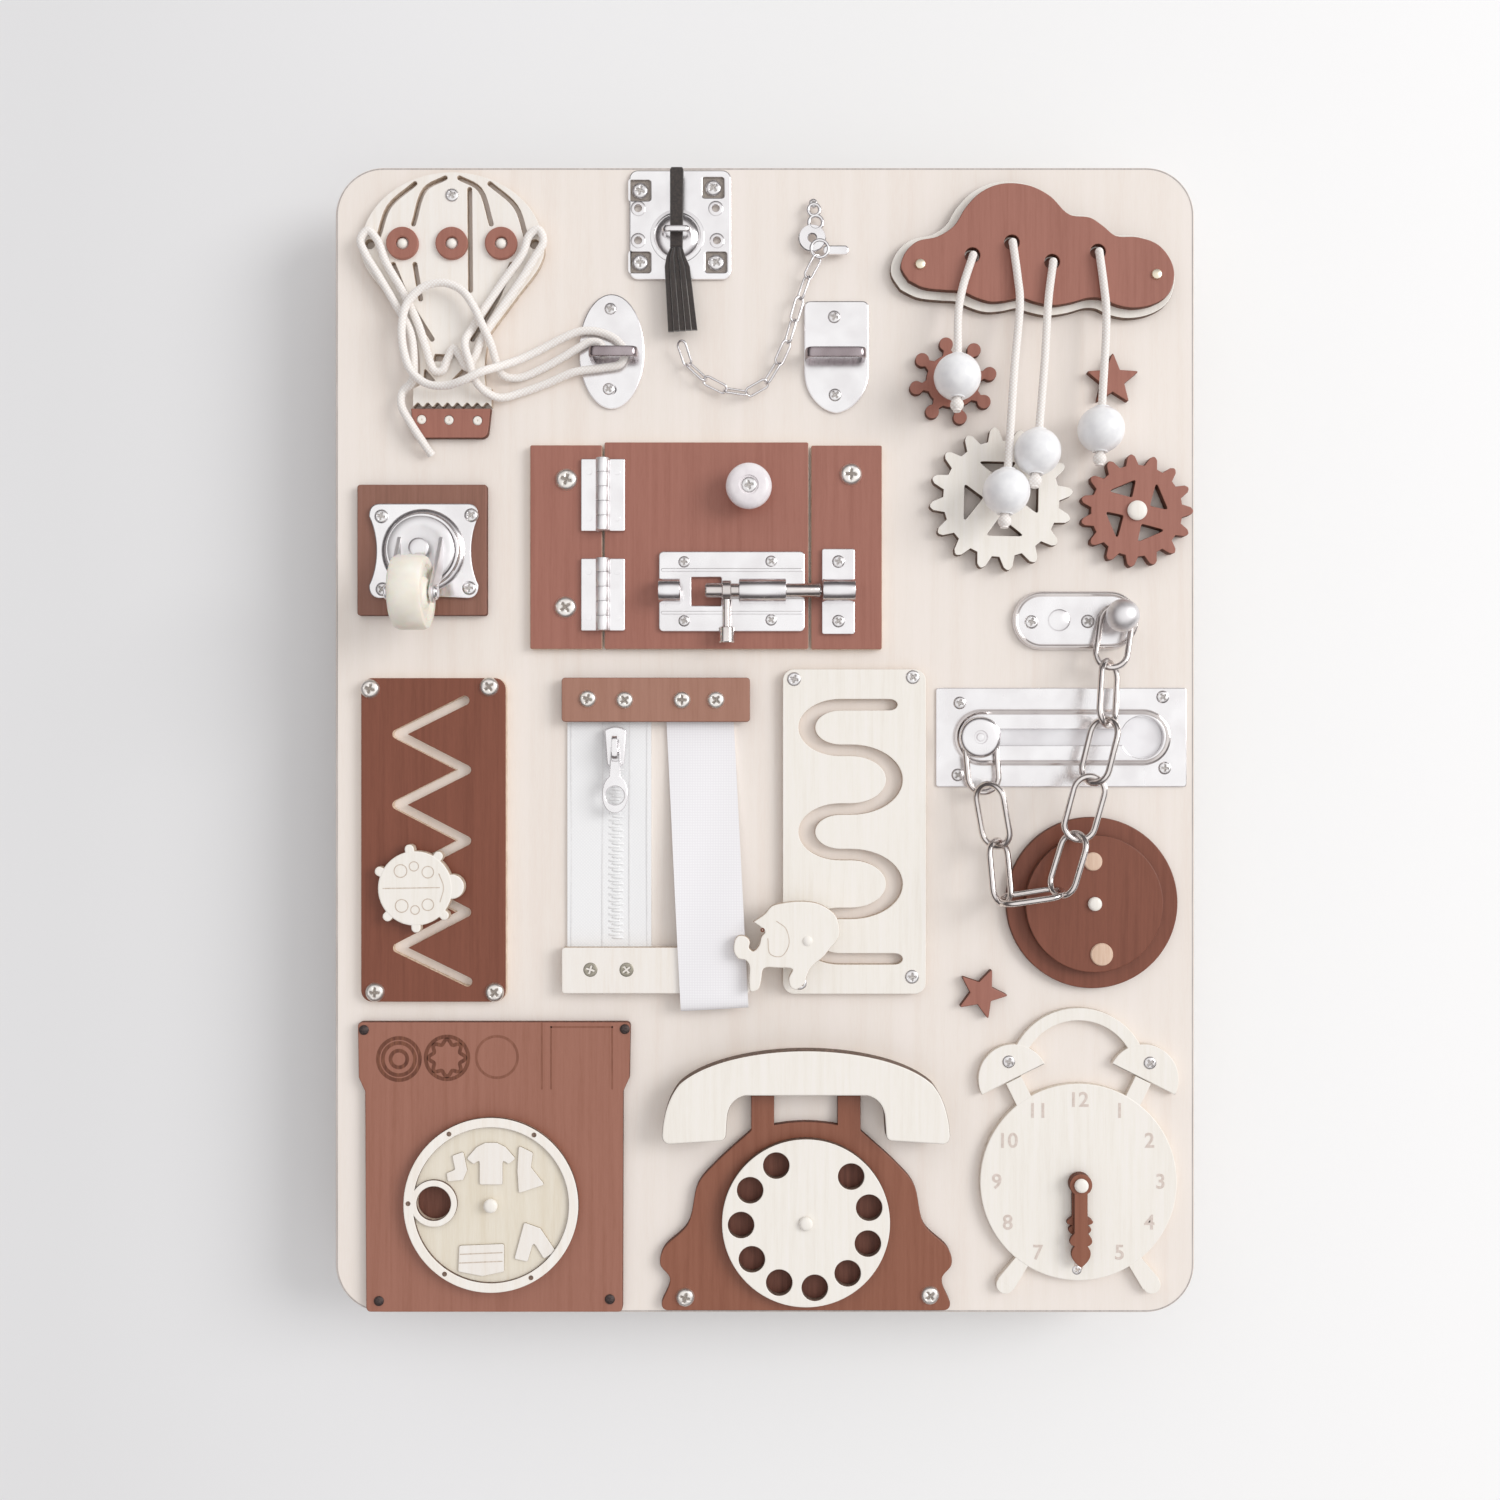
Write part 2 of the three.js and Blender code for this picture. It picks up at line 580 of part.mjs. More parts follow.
function beadGeometry() {
  const profile = [[BEAD.bore, -7.7]];
  for (let i = 1; i < 7; i += 1) {
    const angle = -Math.PI / 2 + 0.24 + (i / 7) * (Math.PI - 0.48);
    profile.push([BEAD.radius * Math.cos(angle), BEAD.radius * Math.sin(angle)]);
  }
  profile.push([BEAD.bore, 7.7], [BEAD.bore, -7.7]);
  return lathe(profile, 13);
}

function beadString([x, y], { bead: centre, bends }) {
  const middle = new THREE.Vector3(...centre);
  const down = middle.clone().sub(new THREE.Vector3(...bends.at(-1))).normalize();
  const along = (distance) => middle.clone().addScaledVector(down, distance).toArray();
  const route = [[x, y, STRING_Z], ...bends, along(-BEAD.straight), centre, along(BEAD.cordEnd)];
  const knot = new THREE.SphereGeometry(BEAD.knot, 6, 4);
  return { geometry: join(tube(route, CORD, 12, 6), moved(knot, ...along(BEAD.knotOffset))), middle, down };
}

STRINGS.forEach((string, i) => {
  const { geometry, middle, down } = beadString(CLOUD_HOLES[i], string);
  addPiece(`bead_cord_${i + 1}`, geometry, cotton, 0, 0);
  const mesh = addPiece(`bead_${i + 1}`, beadGeometry(), bead, middle.x, middle.y, middle.z);
  mesh.quaternion.setFromUnitVectors(new THREE.Vector3(0, 0, -1), down);
});

// Gears with pinwheel windows, and the sun wheel with ball-ended teeth
function gearShape(teeth, tip, turn) {
  const root = tip * 0.81;
  const points = [];
  const tooth = [[-0.32, root], [-0.15, tip * 0.965], [0, tip], [0.15, tip * 0.965], [0.32, root]];
  for (let i = 0; i < teeth; i += 1) {
    for (const [share, r] of tooth) {
      const angle = turn + (i + share) * 2 * Math.PI / teeth;
      points.push([r * Math.cos(angle), r * Math.sin(angle)]);
    }
  }
  const shape = polygon(points);
  for (let k = 0; k < 4; k += 1) {
    const base = turn + k * Math.PI / 2;
    const corners = [[0.61, 0.45], [0.55, -0.49], [0.25, -0.17]];
    const window = corners.map(([r, a]) => {
      return new THREE.Vector2(tip * r * Math.cos(base + a), tip * r * Math.sin(base + a));
    });
    shape.holes.push(new THREE.Path(window));
  }
  return drill(shape, [[0, 0]], PIVOT.bore);
}

addPiece('gear_light', slab(gearShape(16, 24.9, 0.1), 0, 4), birch, ...PLACES.gearLight, SPINNER_Z);
addPiece('gear_stained', slab(gearShape(15, 19.6, 2.09), 0, 4), stained, ...PLACES.gearStained, SPINNER_Z);

function sunWheel() {
  const body = slab(drill(disc(9.3), [[0, 0]], PIVOT.bore), 0, PLY, 6);
  const spokes = [];
  for (let i = 0; i < 8; i += 1) {
    const angle = 1.76 + i * Math.PI / 4;
    const ball = slab(disc(2.4, 12.9, 0), 0, PLY, 3);
    const neck = slab(polygon([[7, -1.5], [12.5, -1.3], [12.5, 1.3], [7, 1.5]]), 0, PLY);
    spokes.push(ball.rotateZ(angle), neck.rotateZ(angle));
  }
  return join(body, ...spokes);
}

addPiece('sun_wheel', sunWheel(), stained, ...PLACES.sun, SPINNER_Z);

// Swivel caster on a stained square, hanging down from its swivel
const CASTER = { x: -118.1, y: 65.4, wheelY: -16.3, wheelZ: 22.5, wheelRadius: 12.5, wheelWidth: 11.5 };
const SWIVEL = { pin: 2, bore: 2.3, race: 14.4, crown: 11.4 };

addPiece('caster_backing', slab(roundedRect(45, 45.4, 1), 0, PLY, 3), stained, -119, 65.9);

function casterPlate() {
  const x = 19;
  const y = 16.4;
  const shape = new THREE.Shape();
  shape.moveTo(-x + 4, -y);
  shape.quadraticCurveTo(0, -y + 1, x - 4, -y);
  shape.quadraticCurveTo(x, -y, x, -y + 4.5);
  shape.bezierCurveTo(x - 3.4, -5, x - 3.4, 5, x, y - 4.5);
  shape.quadraticCurveTo(x, y, x - 4, y);
  shape.lineTo(-x + 4, y);
  shape.quadraticCurveTo(-x, y, -x, y - 4.5);
  shape.bezierCurveTo(-x + 3.4, 5, -x + 3.4, -5, -x, -y + 4.5);
  shape.quadraticCurveTo(-x, -y, -x + 4, -y);
  drill(shape, [[-15.2, 12.4], [15.2, 12.4], [15.2, -12.4], [-15.2, -12.4]], 1.7);
  const { race } = SWIVEL;
  const dish = lathe([[0, 1], [race, 1], [race, 2.4], [race - 1.6, 4.2], [race - 4.9, 5], [0, 5]], 16);
  const pin = rod(SWIVEL.pin, 4, 8.6, 4);
  const head = moved(rod(3.4, 7, 8.6, 4), 0, 0, 1.2);
  return join(slab(shape, 0, 1.5, 5), dish, pin, head);
}

addPiece('caster_plate', casterPlate(), steel, CASTER.x, CASTER.y, PLY);

function casterFork() {
  const { wheelY, wheelZ, wheelWidth } = CASTER;
  const crownZ = PLY + 5 + GAP;
  const arm = wheelWidth / 2 + 0.7;
  const crown = slab(drill(disc(SWIVEL.crown), [[0, 0]], SWIVEL.bore), crownZ, crownZ + 1.5, 8);
  const side = new THREE.Shape();
  side.moveTo(4, crownZ);
  side.lineTo(-6, crownZ);
  side.quadraticCurveTo(-11, crownZ + 2, -12.8, crownZ + 7);
  side.lineTo(wheelY - 3.4, wheelZ - 1);
  side.absarc(wheelY, wheelZ, 3.6, Math.PI * 1.05, Math.PI * 0.35, true);
  side.quadraticCurveTo(-6, crownZ + 9, 4, crownZ + 1.5);
  const cheeks = [-1, 1].map((hand) => {
    const cheek = slab(side, 0, 1.4, 3);
    const frame = new THREE.Matrix4().makeBasis(
      new THREE.Vector3(0, 1, 0),
      new THREE.Vector3(0, 0, 1),
      new THREE.Vector3(1, 0, 0),
    );
    cheek.applyMatrix4(frame);
    return moved(cheek, hand > 0 ? arm : -arm - 1.4, 0);
  });
  const axle = rod(1.5, -arm - 2.4, arm + 2.4, 4).rotateY(Math.PI / 2);
  return join(crown, ...cheeks, moved(axle, 0, wheelY, wheelZ));
}

function casterWheel() {
  const half = CASTER.wheelWidth / 2;
  const r = CASTER.wheelRadius;
  const profile = [
    [1.8, -half], [4, -half], [5.5, -half + 1.4], [8.6, -half + 1.4], [9.4, -half],
    [r - 1.4, -half], [r, -half + 1.6], [r, half - 1.6], [r - 1.4, half], [9.4, half],
    [8.6, half - 1.4], [5.5, half - 1.4], [4, half], [1.8, half], [1.8, -half],
  ];
  return lathe(profile, 15).rotateY(Math.PI / 2);
}

addPiece('caster_fork', casterFork(), steel, CASTER.x, CASTER.y);
addPiece('caster_wheel', casterWheel(), nylon, CASTER.x, CASTER.y + CASTER.wheelY, CASTER.wheelZ);

// The little door: two fixed strips, the leaf between them, two butt hinges, a knob and a bolt
const DOOR = { left: -55.7, right: 15.1, bottom: 31.5, top: 103.3, knuckleX: -56.1, knuckleZ: 5.6 };
const DOOR_X = (DOOR.left + DOOR.right) / 2;
const DOOR_Y = (DOOR.bottom + DOOR.top) / 2;

addPiece('door_strip_left', slab(roundedRect(25, 70.8, 0.6), 0, PLY, 2), stained, -69, 66.9);
addPiece('door_strip_right', slab(roundedRect(24.6, 70.8, 0.6), 0, PLY, 2), stained, 28.3, 66.8);

const doorShape = roundedRect(DOOR.right - DOOR.left, DOOR.top - DOOR.bottom, 0.6);
addPiece('door_panel', slab(doorShape, LIFT / 2, PLY, 2), stained, DOOR_X, DOOR_Y);

const HINGE = { height: 25, leaf: 7.6, barrel: 2.35, knuckles: 5 };
const HINGES = { upper: 84.8, lower: 50.3 };

function hingeLeaf(side, odd) {
  const { height, leaf, barrel, knuckles } = HINGE;
  const rise = DOOR.knuckleZ - PLY;
  const [from, to] = side > 0 ? [0.5, leaf] : [-leaf, -0.5];
  const plate = polygon([[from, -height / 2], [to, -height / 2], [to, height / 2], [from, height / 2]]);
  const pieces = [slab(plate, 0, SHEET)];
  const pitch = height / knuckles;
  const notches = [];
  for (let i = 0; i < knuckles; i += 1) {
    const bottom = -height / 2 + i * pitch;
    const mine = (i % 2 === 1) === odd;
    const tall = pitch - (mine ? GAP : -GAP);
    const knuckle = rod(mine ? barrel : barrel + GAP, -tall / 2, tall / 2, 4).rotateX(Math.PI / 2);
    moved(knuckle, 0, bottom + pitch / 2, rise);
    if (mine) {
      pieces.push(knuckle);
    } else {
      notches.push(knuckle);
    }
  }
  if (!odd) {
    const pin = rod(1, -height / 2 + 0.5, height / 2 - 0.5, 4).rotateX(Math.PI / 2);
    return join(cut(join(...pieces), ...notches), moved(pin, 0, 0, rise));
  }
  const bore = rod(1.3, -height / 2 - 1, height / 2 + 1, 4).rotateX(Math.PI / 2);
  return cut(join(...pieces), ...notches, moved(bore, 0, 0, rise));
}

for (const [name, y] of Object.entries(HINGES)) {
  addPiece(`hinge_leaf_fixed_${name}`, hingeLeaf(-1, false), steel, DOOR.knuckleX, y, PLY);
  addPiece(`hinge_leaf_door_${name}`, hingeLeaf(1, true), steel, DOOR.knuckleX, y, PLY);
}

const KNOB_PROFILE = [
  [0, 0], [4.2, 0], [4.4, 1.6], [3.8, 3.2], [6.6, 4.6], [7.9, 6.8], [7.6, 8.6], [5.6, 9.8], [0, 10],
];
addPiece('door_knob', lathe(KNOB_PROFILE, 14), paleWood, -5.6, 86.8, PLY);

const BOLT = { x: -11.5, y: 51.4, width: 50.5, height: 27.7 };
const BOLT_ROD = { radius: 2.45, z: 4.2, tip: 19.3, tail: -20.6 };

function boltBarrel(width, outer) {
  const shape = new THREE.Shape();
  shape.moveTo(-outer, 0.6);
  shape.lineTo(outer, 0.6);
  shape.lineTo(outer, BOLT_ROD.z);
  shape.absarc(0, BOLT_ROD.z, outer, 0, Math.PI);
  shape.lineTo(-outer, 0.6);
  drill(shape, [[0, BOLT_ROD.z]], BOLT_ROD.radius + GAP);
  const geometry = slab(shape, -width / 2, width / 2, 5);
  const frame = new THREE.Matrix4().makeBasis(
    new THREE.Vector3(0, 1, 0),
    new THREE.Vector3(0, 0, 1),
    new THREE.Vector3(1, 0, 0),
  );
  return geometry.applyMatrix4(frame);
}

function boltHousing() {
  const plate = roundedRect(BOLT.width, BOLT.height, 1.6);
  drill(plate, [[-16.4, -10.2], [13.6, -10.2], [-16.4, 10.2], [13.6, 10.2]], 1.5);
  const corners = [[-14, -4.9], [-14, 4.9], [-3.6, 4.9], [-3.6, -4.9]];
  plate.holes.push(new THREE.Path(corners.map(([x, y]) => new THREE.Vector2(x, y))));
  return join(
    slab(plate, 0, SHEET, 3),
    moved(boltBarrel(16.2, 4.1), 10.6, 0),
    moved(boltBarrel(7.6, 4.1), -21.4, 0),
  );
}

function boltRod() {
  const { radius, z, tip, tail } = BOLT_ROD;
  const bar = rod(radius, tail, tip, 5).rotateY(Math.PI / 2);
  const stem = rod(1.5, 0, 13.6, 4).rotateX(Math.PI / 2);
  const grip = lathe([[0, 0], [2.2, 0], [2.9, 1], [2.9, 4.2], [2.2, 5.2], [0, 5.2]], 14).rotateX(Math.PI / 2);
  return join(bar, moved(stem, -13.2, 0, 0), moved(grip, -13.2, -12.8, 0)).translate(0, 0, z);
}

function boltKeeper() {
  const outer = BOLT_ROD.radius + GAP + 1.2;
  const plate = slab(roundedRect(11.4, 29.6, 0.8), 0, SHEET, 3);
  return join(plate, moved(boltBarrel(11.4, outer), 0, 0));
}

addPiece('bolt_housing', boltHousing(), steel, BOLT.x, BOLT.y, PLY);
addPiece('bolt_rod', boltRod(), steel, 0, BOLT.y, PLY);
addPiece('bolt_keeper', boltKeeper(), steel, 25.4, BOLT.y, PLY);

// Zigzag panel with its ladybird slider
const ZIGZAG = { x: -115, y: -34.7, width: 50.3, height: 112.4, slot: 1.6 };
const ZIGZAG_TURNS = [
  [-104.2, 13.7], [-127.6, 2], [-103.6, -10.4], [-127.6, -22.5], [-103.6, -35],
  [-127.6, -47.4], [-103.6, -59.8], [-127.4, -72.2], [-103.2, -83.9],
];

function zigzagPanel() {
  const panel = slab(roundedRect(ZIGZAG.width, ZIGZAG.height, 4), 0, PLY, 5);
  const turns = ZIGZAG_TURNS.map(([x, y]) => [x - ZIGZAG.x, y - ZIGZAG.y]);
  return cut(panel, slab(slotOutline(turns, ZIGZAG.slot), -1, PLY + 1));
}

addPiece('zigzag_panel', zigzagPanel(), stained, ZIGZAG.x, ZIGZAG.y);

const LADYBUG = { x: -120.4, y: -51.12, radius: 12.9, pin: 1.3, nub: 4.8, head: 4.3 };

function ladybug() {
  const { radius, pin, nub, head } = LADYBUG;
  const bottom = PLY + GAP;
  const top = bottom + 4;
  const feet = [1.72, 2.7, 0.95, -2.35, -1.55, -0.75].map((angle) => {
    return moved(slab(roundedRect(nub, 3.4, 1.6), bottom, top, 1), radius, 0).rotateZ(angle);
  });
  const face = slab(disc(head, radius - 0.3, 0.6), bottom, top, 4);
  return join(slab(disc(radius), bottom, top, 7), face, ...feet, rod(pin, 0.25, PLY + 1, 6));
}

addPiece('ladybug', ladybug(), paleWood, LADYBUG.x, LADYBUG.y);

// Zip: two bars that clamp the tape and the strap, and the slider with its pull
const ZIP = { bar: 65.2, z: 1.5, tape: -54.2, slider: -51.8 };

function zipBar(height) {
  return slab(roundedRect(ZIP.bar, height, 1.2), 0, PLY, 3);
}

addPiece('zip_top_bar', zipBar(15.3), stained, -37.8, 13.9, ZIP.z);
addPiece('zip_bottom_bar', zipBar(16), birch, -37.8, -79.8, ZIP.z);

function zipTape() {
  const tape = slab(polygon([[-14.6, -106], [14.6, -106], [14.6, 0], [-14.6, 0]]), 0, 1.2);
  const chainBand = slab(polygon([[-2.6, -90.5], [2.6, -90.5], [2.6, -16.2], [-2.6, -16.2]]), 1, 2.4);
  const pieces = [chainBand];
  for (let y = -88; y < -17; y += 5.9) {
    pieces.push(moved(slab(polygon([[-3.4, -0.75], [3.4, -0.75], [3.4, 0.75], [-3.4, 0.75]]), 1, 2.1), 0, y));
  }
  return join(tape, ...pieces.map((piece) => moved(piece, ZIP.slider - ZIP.tape, 0)));
}

addPiece('zip_tape', zipTape(), cotton, ZIP.tape, 20.5);

function zipSlider() {
  const shape = new THREE.Shape();
  shape.moveTo(-3.9, 0);
  shape.lineTo(-3, -12);
  shape.quadraticCurveTo(0, -14, 3, -12);
  shape.lineTo(3.9, 0);
  shape.quadraticCurveTo(0, 2.4, -3.9, 0);
  const body = slab(shape, 2.7, 4.5, 4);
  const bridge = staple(8, 2, 4.4).rotateZ(Math.PI / 2);
  return join(body, moved(bridge, 0, -6, 4));
}

function zipPull() {
  const shape = new THREE.Shape();
  shape.moveTo(-1.6, 2);
  shape.lineTo(-2, -8);
  shape.bezierCurveTo(-5.6, -10.5, -5.6, -20.5, 0, -20.8);
  shape.bezierCurveTo(5.6, -20.5, 5.6, -10.5, 2, -8);
  shape.lineTo(1.6, 2);
  drill(shape, [[0, -14.6]], 3.2);
  return cut(slab(shape, -0.5, 0.5, 5), moved(slab(roundedRect(2.6, 3, 0.5), -2, 2, 2), 0, -1.2));
}

addPiece('zip_slider', zipSlider(), steel, ZIP.slider, 3.4);
addPiece('zip_pull', zipPull(), steel, ZIP.slider, -4.6, 5.6);

// The soft strap runs from under the top bar down over the bottom bar
function strapGeometry() {
  const side = new THREE.Shape();
  side.moveTo(0, 0);
  side.lineTo(-16, 0);
  side.bezierCurveTo(-50, 0.6, -70, 4.6, -88, 4.8);
  side.lineTo(-109, 4.8);
  side.lineTo(-112, 3.6);
  side.lineTo(-112, 4.8);
  side.lineTo(-109.4, 6);
  side.lineTo(-88, 6);
  side.bezierCurveTo(-70, 5.8, -50, 1.8, -16, 1.2);
  side.lineTo(0, 1.2);
  const geometry = slab(side, -11.7, 11.7, 6);
  const frame = new THREE.Matrix4().makeBasis(
    new THREE.Vector3(0, 1, 0),
    new THREE.Vector3(0, 0, 1),
    new THREE.Vector3(1, 0, 0),
  );
  return geometry.applyMatrix4(frame).rotateZ(0.052);
}

addPiece('strap', strapGeometry(), cotton, -23.2, 18.5);

// Winding-track panel with its animal slider
const TRACK = { x: 31, y: -31.8, width: 49.8, height: 112.8, slot: 1.9 };
// The slot is stretched sideways, so it's wider in its bends than in its straights
const TRACK_STRETCH = 1.48;
const TRACK_BENDS = { small: 7.9, large: 10.2, left: 26.2, right: 29.8 };
const TRACK_START = [43.1, 12.2];
const TRACK_END = 44.9;

function trackRoute() {
  const { small, large, left, right } = TRACK_BENDS;
  const route = new THREE.CurvePath();
  let y = TRACK_START[1];
  let from = new THREE.Vector2(TRACK_START[0] / TRACK_STRETCH, y);
  for (let turn = 0; turn < 5; turn += 1) {
    const toLeft = turn % 2 === 0;
    const radius = toLeft ? small : large;
    const x = (toLeft ? left : right) / TRACK_STRETCH;
    route.add(new THREE.LineCurve(from, new THREE.Vector2(x, y)));
    const end = toLeft ? Math.PI * 1.5 : -Math.PI / 2;
    route.add(new THREE.EllipseCurve(x, y - radius, radius, radius, Math.PI / 2, end, !toLeft));
    y -= 2 * radius;
    from = new THREE.Vector2(x, y);
  }
  route.add(new THREE.LineCurve(from, new THREE.Vector2(TRACK_END / TRACK_STRETCH, y)));
  return route;
}

function trackPanel() {
  const panel = slab(roundedRect(TRACK.width, TRACK.height, 4), 0, PLY, 5);
  const points = [];
  for (const curve of trackRoute().curves) {
    const steps = curve.isLineCurve ? 1 : 7;
    for (let i = points.length === 0 ? 0 : 1; i <= steps; i += 1) {
      const point = curve.getPoint(i / steps);
      points.push([point.x, point.y]);
    }
  }
  const slot = slab(slotOutline(points, TRACK.slot), -1, PLY + 1).scale(TRACK_STRETCH, 1, 1);
  return cut(panel, moved(slot, -TRACK.x, -TRACK.y));
}

addPiece('curve_panel', trackPanel(), birch, TRACK.x, TRACK.y);

const ANIMAL = { x: 14.5, y: -68.1, back: 6.75, thickness: 3, pin: 1.5, foot: 4.2 };
const ANIMAL_EDGE = [
  [-18.6, 5.7], [-16.9, 4.6], [-14.6, 2.3], [-15.8, 0.6], [-16.6, -2.3], [-18.6, -4.3], [-20, -3.1],
  [-19.7, -1.1], [-20.9, 0.6], [-23.5, 1], [-24.9, -0.6], [-25.2, -4.5], [-23.7, -6.8], [-21.2, -7.4],
  [-20, -9.1], [-20, -14.8], [-19.5, -18.1], [-16.9, -17.4], [-15.8, -14.2], [-14.9, -10.2], [-10.1, -10],
  [-5.2, -10.5], [-6.4, -13.4], [-5.8, -16.6], [-3.8, -17.4], [-1.2, -15.4], [-0.1, -12.5], [1.3, -9.7],
  [5.3, -6.3], [7.6, -3.4], [10.7, 0.6], [11, 3.7], [9.6, 8], [6.7, 10.5], [3, 12.2], [-2.7, 12.8],
  [-8.4, 12.2], [-12.3, 11.1], [-14.6, 8.5],
];

function animalSlider() {
  const { back, thickness, pin, foot } = ANIMAL;
  const body = slab(polygon(ANIMAL_EDGE), back, back + thickness);
  return join(body, rod(foot, PLY + GAP, back + 1, 6), rod(pin, 0.25, PLY + 1, 6));
}

addPiece('elephant', animalSlider(), paleWood, ANIMAL.x, ANIMAL.y);

// Door chain: anchor plate with its ball, track plate with its slider, and the links between
function stadium(length, width) {
  return roundedRect(length, width, width / 2 - 0.001);
}

function chainAnchor() {
  const plate = slab(drill(stadium(44, 20.4), [[-15.8, 0], [4, 0]], 1.6), 0, 1.5, 5);
  const boss = moved(rod(3.6, 1, 3, 4), -6, 0);
  const ball = lathe([[0, 1], [1.6, 1], [1.6, 6.2], [4.2, 7.8], [5.7, 10.6], [4.4, 14.4], [0, 16.2]], 12);
  return join(plate, boss, moved(ball, 13.8, 0.8));
}

addPiece('chain_anchor', chainAnchor(), steel, 108.2, 41.6);

const CHAIN_TRACK = { x: 103.3, y: 0.9, length: 87.4, height: 34.5, rise: 3.2 };

function chainTrack() {
  const { length, height, rise } = CHAIN_TRACK;
  const plate = roundedRect(length, height, 1);
  drill(plate, [[-35.4, 12], [35.3, 14], [36, -10.7], [-36.1, -13.1]], 1.6);
  const rail = slab(stadium(74.8, 19), 1, rise, 5);
  const groove = slab(slotOutline([[-29.2, 0], [26, 0]], 2.8), 0.6, rise + 1);
  const entry = moved(rod(7.4, 0.6, rise + 1, 8), 27.6, 0);
  return cut(join(slab(plate, 0, SHEET, 2), rail), groove, entry);
}

addPiece('chain_track', chainTrack(), steel, CHAIN_TRACK.x, CHAIN_TRACK.y);

const CHAIN_SLIDER = { x: 74.1, z: 6.2 };

function chainSlider() {
  const stem = rod(2.3, 1.2, CHAIN_SLIDER.z + 1, 6);
  const button = lathe([[0, 0], [7, 0], [7.1, 1], [6.2, 2], [3.4, 2.2], [2.6, 1.7], [0, 1.7]], 18);
  const hook = laidLink([1.7, -17.9, 4.8], [0, 2.2, 4.6], 0.02, DOOR_LINK);
  return join(stem, moved(button, 0, 0, CHAIN_SLIDER.z), moved(hook, 0, 0));
}

addPiece('chain_slider', chainSlider(), steel, CHAIN_SLIDER.x, CHAIN_TRACK.y);
addPiece('door_chain', chain(DOOR_CHAIN, DOOR_TWISTS, DOOR_LINK), steel, 0, 0);

// Spinner: a fixed base disc and a smaller disc that turns on it
const spinnerShape = drill(disc(29.7), [[0, 0]], PIVOT.bore);
addPiece('spinner_base', slab(spinnerShape, 0, PLY, 18), stained, ...PLACES.spinner);

function spinnerDisc() {
  const plate = slab(drill(disc(23.7), [[0, 0]], PIVOT.bore), 0, PLY, 16);
  return join(plate, moved(rod(3.2, 2, 3.75, 6), -0.6, 14.6), moved(rod(3.9, 2, 3.75, 6), 2.4, -17.4));
}

addPiece('spinner_disc', spinnerDisc(), stained, ...PLACES.spinner, UPPER_Z);

// Washing machine: a front panel with a round door that turns
const WASHER = { x: -94, y: -148.2 };

function washerPanel() {
  const shape = new THREE.Shape();
  shape.moveTo(-42.6, -50.3);
  shape.lineTo(42.9, -50.3);
  shape.quadraticCurveTo(44.6, -50.3, 44.6, -48.4);
  shape.lineTo(44.8, 26.2);
  shape.lineTo(47, 31);
  shape.lineTo(47.3, 48.6);
  shape.quadraticCurveTo(47.3, 50.3, 45.6, 50.3);
  shape.lineTo(-45.6, 50.3);
  shape.quadraticCurveTo(-47.3, 50.3, -47.3, 48.6);
  shape.lineTo(-47, 31);
  shape.lineTo(-44.8, 26.2);
  shape.lineTo(-44.4, -48.4);
  shape.quadraticCurveTo(-44.4, -50.3, -42.6, -50.3);
  const [x, y] = PLACES.washerDisc;
  return slab(drill(shape, [[x - WASHER.x, y - WASHER.y]], PIVOT.bore), 0, PLY, 5);
}

addPiece('washer_panel', washerPanel(), stained, WASHER.x, WASHER.y);

const WASHER_DISC = { radius: 30.2, rim: 26.8, web: 1.8, finger: [-19.7, 0.6], fingerRadius: 5.9 };

function washerDisc() {
  const { radius, rim, web, finger, fingerRadius } = WASHER_DISC;
  const plate = drill(disc(radius), [[0, 0]], PIVOT.bore);
  drill(plate, [finger], fingerRadius);
  const ring = slab(drill(disc(radius), [[0, 0]], rim), web - 0.5, PLY, 16);
  const collar = slab(drill(disc(fingerRadius + 2.2, ...finger), [finger], fingerRadius), web - 0.5, PLY, 8);
  return join(slab(plate, 0, web, 16), ring, collar);
}

addPiece('washer_disc', washerDisc(), paleWood, ...PLACES.washerDisc, UPPER_Z);

// Telephone: body with its cradle posts, a finger dial and the handset
const PHONE = { x: 14.2, y: -198 };

function phoneBody() {
  const shape = new THREE.Shape();
  shape.moveTo(-48, 0);
  shape.lineTo(48, 0);
  shape.quadraticCurveTo(50.4, 0.4, 50, 3);
  for (const hand of [1, -1]) {
    const up = [
      [hand * 47.2, 11], [hand * 50.6, 16], [hand * 49.4, 21.5], [hand * 41, 30],
      [hand * 37.4, 44], [hand * 31.6, 51], [hand * 19, 62.5],
    ];
    const path = hand > 0 ? up : up.reverse();
    if (hand < 0) {
      shape.lineTo(-19, 74.6);
      shape.lineTo(-19, 62.5);
    }
    const points = path.map(([x, y]) => new THREE.Vector2(x, y));
    shape.splineThru(points);
    if (hand > 0) {
      shape.lineTo(19, 74.6);
      shape.lineTo(11, 74.6);
      shape.lineTo(11, 64.4);
      shape.quadraticCurveTo(0, 66.6, -11, 64.4);
      shape.lineTo(-11, 74.6);
    }
  }
  shape.lineTo(-50, 3);
  shape.quadraticCurveTo(-50.4, 0.4, -48, 0);
  const [x, y] = PLACES.dial;
  return slab(drill(shape, [[x - PHONE.x, y - PHONE.y]], PIVOT.bore), 0, PLY, 4);
}

addPiece('phone_body', phoneBody(), stained, PHONE.x, PHONE.y);

const DIAL = { radius: 29, ring: 22.4, hole: 4.5, first: 2.047, step: 0.56 };

function phoneDial() {
  const holes = [];
  for (let i = 0; i < 10; i += 1) {
    const angle = DIAL.first + i * DIAL.step;
    holes.push([DIAL.ring * Math.cos(angle), DIAL.ring * Math.sin(angle)]);
  }
  const shape = drill(drill(disc(DIAL.radius), holes, DIAL.hole), [[0, 0]], PIVOT.bore);
  return slab(shape, 0, PLY, 10);
}

